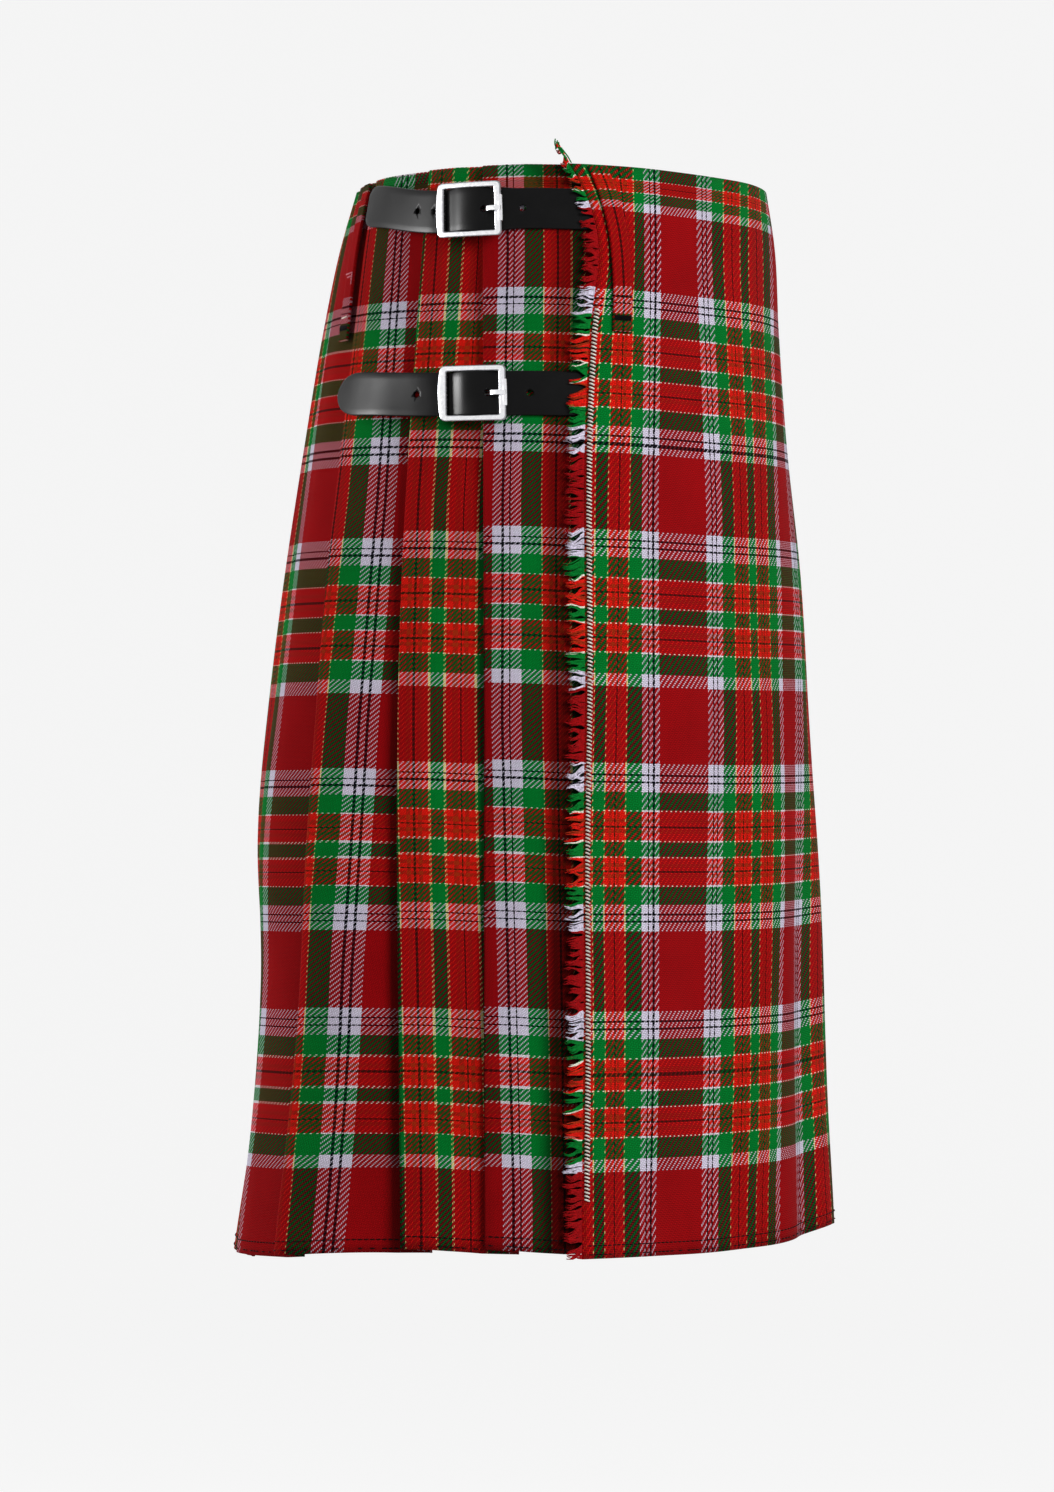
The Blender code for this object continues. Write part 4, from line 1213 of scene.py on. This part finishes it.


def rounded_oblong(half_long, half_tall, corner, bulge=0.0):
    """An outline of places ahead and up, whose far end may swell outward."""
    centres = np.array([(1, 1), (-1, 1), (-1, -1), (1, -1)]) * (half_long - corner, half_tall - corner)
    # Round each corner, then along the straight side to the next one, by the share still to go
    steps = [(turn, 1.0) for turn in (0, 30, 60, 90)]
    steps += [(90, share) for share in (0.8, 0.65, 0.5, 0.35, 0.2)]
    outline = []
    for i, centre in enumerate(centres):
        for turn, share in steps:
            angle = math.radians(90 * i + turn)
            ahead, up = centre * share + centres[(i + 1) % 4] * (1 - share)
            ahead += corner * math.cos(angle)
            up += corner * math.sin(angle)
            if ahead < corner - half_long:
                ahead -= bulge * (1 - (up / half_tall) ** 2)
            outline.append((ahead, up))
    return outline


def soften(piece, width, segments):
    bevel = piece.modifiers.new("Softened edges", "BEVEL")
    bevel.width = width
    bevel.segments = segments
    return bevel


def add_wire(place, part, course, radii, sides=12):
    """A round piece of the buckle along places ahead, up and out of its fastening."""
    line = [place.point(*spot) for spot in course]
    own(plain_tubes(part + place.name, [line], radii, NICKEL, sides), "nickel_plate")


for place in FASTENINGS:
    outer = rounded_oblong(*FRAME_OUTER)
    inner = rounded_oblong(*FRAME_INNER)
    points = []
    for outline, out in ((outer, FRAME_FACE), (inner, FRAME_FACE), (inner, FRAME_BACK), (outer, FRAME_BACK)):
        points += [place.point(ahead, up, out) for ahead, up in outline]
    faces = tube_faces(4, len(outer), joined=True)
    buckle = mesh_piece("buckle_frame_" + place.name, points, faces, NICKEL)
    buckle.data.materials.append(PAINTED_SHADE_NICKEL)
    bevel = soften(buckle, FRAME_SOFT, 3)
    bevel.angle_limit = math.radians(40)
    # The softened edges take the greyer nickel, a painted shade on them
    bevel.material = 1
    own(buckle, "nickel_plate", "buckle_" + place.name)
    add_wire(place, "pin_bar_", [(0.0, up, out) for up, out in PIN_COURSE], [PIN_BAR] * len(PIN_COURSE))
    eye = []
    for turn in np.radians((0, 50, 100, 150, 200, 245)):
        eye.append((PRONG_EYE * math.cos(turn), 0.0, PIN_OUT + PRONG_EYE * math.sin(turn)))
    add_wire(place, "prong_eye_", eye, [PRONG_WIRE] * len(eye))
    points = []
    for ahead, out in PRONG_COURSE:
        for up, off in ((-1, -1), (1, -1), (1, 1), (-1, 1)):
            points.append(place.point(ahead, up * PRONG_WIDE / 2, out + off * PRONG_THICK / 2))
    prong = mesh_piece("prong_tongue_" + place.name, points, tube_faces(len(PRONG_COURSE), 4), NICKEL)
    soften(prong, PRONG_SOFT, 2)
    own(prong, "nickel_plate", "prong_" + place.name)
    add_wire(place, "roller_", [(ROLLER_AHEAD, up, ROLLER_OUT) for up in ROLLER_UPS], ROLLER_RADII, 14)
    chape = frame["nodes"]["chape_" + place.name]
    chape.data.materials.clear()
    chape.data.materials.append(LEATHER)

# ------------------------ Belt loops
# Flat loops of the same cloth, folded double and pressed. Each is sewn in at the waist and held at
# its foot by a short bar of close stitches.

LOOP_WIDTH = 0.0110
LOOP_LENGTH = 0.0930
LOOP_TOP = 0.0010
LOOP_THICK = 0.0016
LOOP_BOW = 0.0008
LOOP_EASE = 0.4
LOOP_ROWS = 26
LOOP_COLUMNS = 8
LOOP_SLIP = 0.0015  # its stripes lie this much off those of the cloth behind it
TACK_DOWN = 0.0850
TACK_LONG = 0.0030
LOOP_LINE = np.array([
    # down, forward: the loop beside the over apron's free edge
    (0.000, 0.0165),
    (0.010, 0.0205),
    (0.032, 0.0265),
    (0.065, 0.0298),
    (0.095, 0.0298),
])
LOOPS = [
    # name, what it lies on, distance past that place, the sett at its middle
    ("loop_right_apron", "apron line", 0.0000, 0.1879),
    ("loop_right_back", "fold 2", 0.0100, 0.2350),
    ("loop_left_apron", "apron start", 0.0700, 0.1879),
    ("loop_left_back", "fold 6", -0.0100, 0.2350),
]
MENDED = "loop_right_back"
PINK_THREAD = make_sewing_thread("pink_sewing_thread", "#E08A94", "#B04A58", 0.2)
TACKS = 15
TACK_RADIUS = 0.00030
MENDING_RADIUS = 0.00040
MENDING = [
    # a mended loop has a bar and a leg of pink thread, and one cream stitch lower down: each stitch's
    # side and down at its start, and the same at its end
    (
        "pink",
        PINK_THREAD,
        [
            (-0.0045, 0.0540, 0.0045, 0.0545),
            (-0.0045, 0.0560, 0.0020, 0.0565),
            (-0.0045, 0.0540, -0.0047, 0.0610),
        ],
    ),
    ("cream", PALE_THREAD, [(-0.0035, 0.0800, 0.0035, 0.0805)]),
]


def loop_course(lies_on, past, down):
    """The middle of a belt loop at one height: its distance round the ring, and how far out it lies."""
    edges, _ = folds(down)
    if lies_on == "apron line":
        distance = float(distance_at(down, through(LOOP_LINE[:, 0], LOOP_LINE[:, 1], down))) + past
        return distance, float(over_apron_out(down, distance))
    if lies_on == "apron start":
        distance = edges[-1] - length_round(down) + past
        return distance, float(over_apron_out(down, distance))
    fold = int(lies_on.split()[1])
    return edges[fold] + past, 2 * layer(down)


def across_loop(lies_on, past, down, sides, over=0.0):
    """Points across a belt loop at one height, along its middle layer or this far over it."""
    middle, out = loop_course(lies_on, past, down)
    bow = LOOP_BOW * (LOOP_EASE + math.sin(math.pi * (down - LOOP_TOP) / LOOP_LENGTH))
    out += CLOTH / 2 + SEAM_GAP + LOOP_THICK / 2 + bow + over
    return on_ring(down, middle + sides, np.full(len(sides), out))


def sew_on_loop(name, lies_on, past, marks, radius, over, thread):
    """Short stitches on a belt loop's face, each from one side and height to another."""
    stitches = []
    for mark in np.array(marks):
        stitch = []
        for part in (0.0, 0.5, 1.0):
            side, down = mark[:2] * (1 - part) + mark[2:] * part
            spot = across_loop(lies_on, past, down, np.array([side]), LOOP_THICK / 2 + over)[0]
            stitch.append(Vector(spot))
        stitches.append(stitch)
    own(plain_tubes(name, stitches, [radius, radius + 0.00006, radius], thread, 6), "tartan_wool")


for name, lies_on, past, sett_place in LOOPS:
    rows = []
    places = []
    across = np.linspace(-0.5, 0.5, LOOP_COLUMNS) * LOOP_WIDTH
    for down in np.linspace(LOOP_TOP, LOOP_TOP + LOOP_LENGTH, LOOP_ROWS):
        rows.append(across_loop(lies_on, past, float(down), across))
        places.append(weave_row(sett_place - across, weft_at(down) + LOOP_SLIP))
    own(cloth_piece(name + "_cloth", rows, places, TARTAN, LOOP_THICK), "tartan_wool", name)
    half = (LOOP_WIDTH - 0.0010) / 2
    tack = [(side, TACK_DOWN, side, TACK_DOWN + TACK_LONG) for side in np.linspace(-half, half, TACKS)]
    sew_on_loop(name + "_tack", lies_on, past, tack, TACK_RADIUS, 0.0001, BLACK_THREAD)
    for shade, thread, marks in MENDING if name == MENDED else ():
        sew_on_loop(name + "_mending_" + shade, lies_on, past, marks, MENDING_RADIUS, 0.0002, thread)

# ------------------------ Stage
# A plain pale sweep, broad soft lights, and the camera.

COVE_GLOW = 0.866
SKY_GLOW = 0.16


def make_cove_paint():
    """A painted studio cove: matt, nearly white, with a faint tooth, and evenly lit from outside."""
    material, tree, shader = start_material("painted_cove")
    spot = add(tree, "TexCoord", out="Object")
    # A roller leaves a soft tooth 25 mm across
    tooth = add(tree, "TexNoise", {"Vector": spot, "Scale": 40.0, "Detail": 3.0})
    tone = add(tree, "Mix", {0: tooth, 6: colour("#6E6E6E"), 7: colour("#727272")}, data_type="RGBA", out=2)
    looks = {
        "Base Color": tone, "Roughness": 0.95, "Specular IOR Level": 0.0,
        "Emission Color": colour("#FFFFFF"), "Emission Strength": COVE_GLOW,
    }
    feed(tree, shader, looks)
    return material


COVE_TURNS = 64
FLOOR_Z = -1.00
WALL = 6.5
CORNER = 2.5
CEILING = 7.5
profile = [(0.02, FLOOR_Z)]
for turn in np.linspace(0.0, math.pi / 2, 13):
    profile.append((WALL - CORNER + CORNER * math.sin(turn), FLOOR_Z + CORNER * (1 - math.cos(turn))))
for turn in np.linspace(0.0, math.pi / 2, 13):
    profile.append((WALL - CORNER + CORNER * math.cos(turn), CEILING - CORNER + CORNER * math.sin(turn)))
profile.append((0.02, CEILING))
points = []
faces = [tuple(i * len(profile) for i in range(COVE_TURNS))]
for i in range(COVE_TURNS):
    turn = 2 * math.pi * i / COVE_TURNS
    points += [(reach * math.cos(turn), reach * math.sin(turn), z) for reach, z in profile]
    for j in range(len(profile) - 1):
        a = i * len(profile) + j
        b = (i + 1) % COVE_TURNS * len(profile) + j
        faces.append((a, b, b + 1, a + 1))
cove = mesh_piece("cove", points, faces, make_cove_paint())
cove.visible_diffuse = False
cove.visible_shadow = False

world = bpy.data.worlds.new("studio")
bpy.context.scene.world = world
world.use_nodes = True
feed(world.node_tree, world.node_tree.nodes["Background"], [colour("#FFFFFF"), SKY_GLOW])

# The gleam is only for the polished leather and metal, since cloth would turn hazy under it
shiny = bpy.data.collections.new("polished")
for piece in bpy.context.scene.objects:
    if piece.type == "MESH" and any(slot.material in (LEATHER, NICKEL) for slot in piece.material_slots):
        shiny.objects.link(piece)

for name, spot, aim, width, height, power in (
    # from where the light stands to what it faces
    ("key", (2.25, -2.45, 0.9), (0.0, 0.0, -0.3), 1.5, 1.6, 95.0),
    ("fill", (-0.6, -3.6, 0.5), (0.0, 0.0, -0.3), 1.6, 1.6, 7.0),
    ("strip", (-2.3, 0.20, 0.0), (0.0, 0.0, -0.3), 0.5, 1.8, 36.0),
    ("gleam", (-2.25, -0.25, 0.15), (0.0, 0.0, -0.10), 0.60, 1.1, 150.0),
):
    lamp = bpy.data.lights.new(name, "AREA")
    lamp.shape = "RECTANGLE"
    lamp.size = width
    lamp.size_y = height
    lamp.energy = power
    light = bpy.data.objects.new(name, lamp)
    light.location = spot
    light.rotation_euler = (Vector(aim) - Vector(spot)).to_track_quat("-Z", "Y").to_euler()
    light.visible_diffuse = name != "gleam"
    light.visible_glossy = name == "gleam"
    if name == "gleam":
        light.light_linking.receiver_collection = shiny
    bpy.context.scene.collection.objects.link(light)

lens = bpy.data.cameras.new("camera")
lens.lens = 135.6
lens.shift_y = 0.0764
camera = bpy.data.objects.new("camera", lens)
camera.location = (-0.020, -3.3, -0.390)
camera.rotation_euler = (math.pi / 2, 0.0, 0.0)
bpy.context.scene.collection.objects.link(camera)
bpy.context.scene.camera = camera
bpy.context.scene.view_settings.view_transform = "Standard"
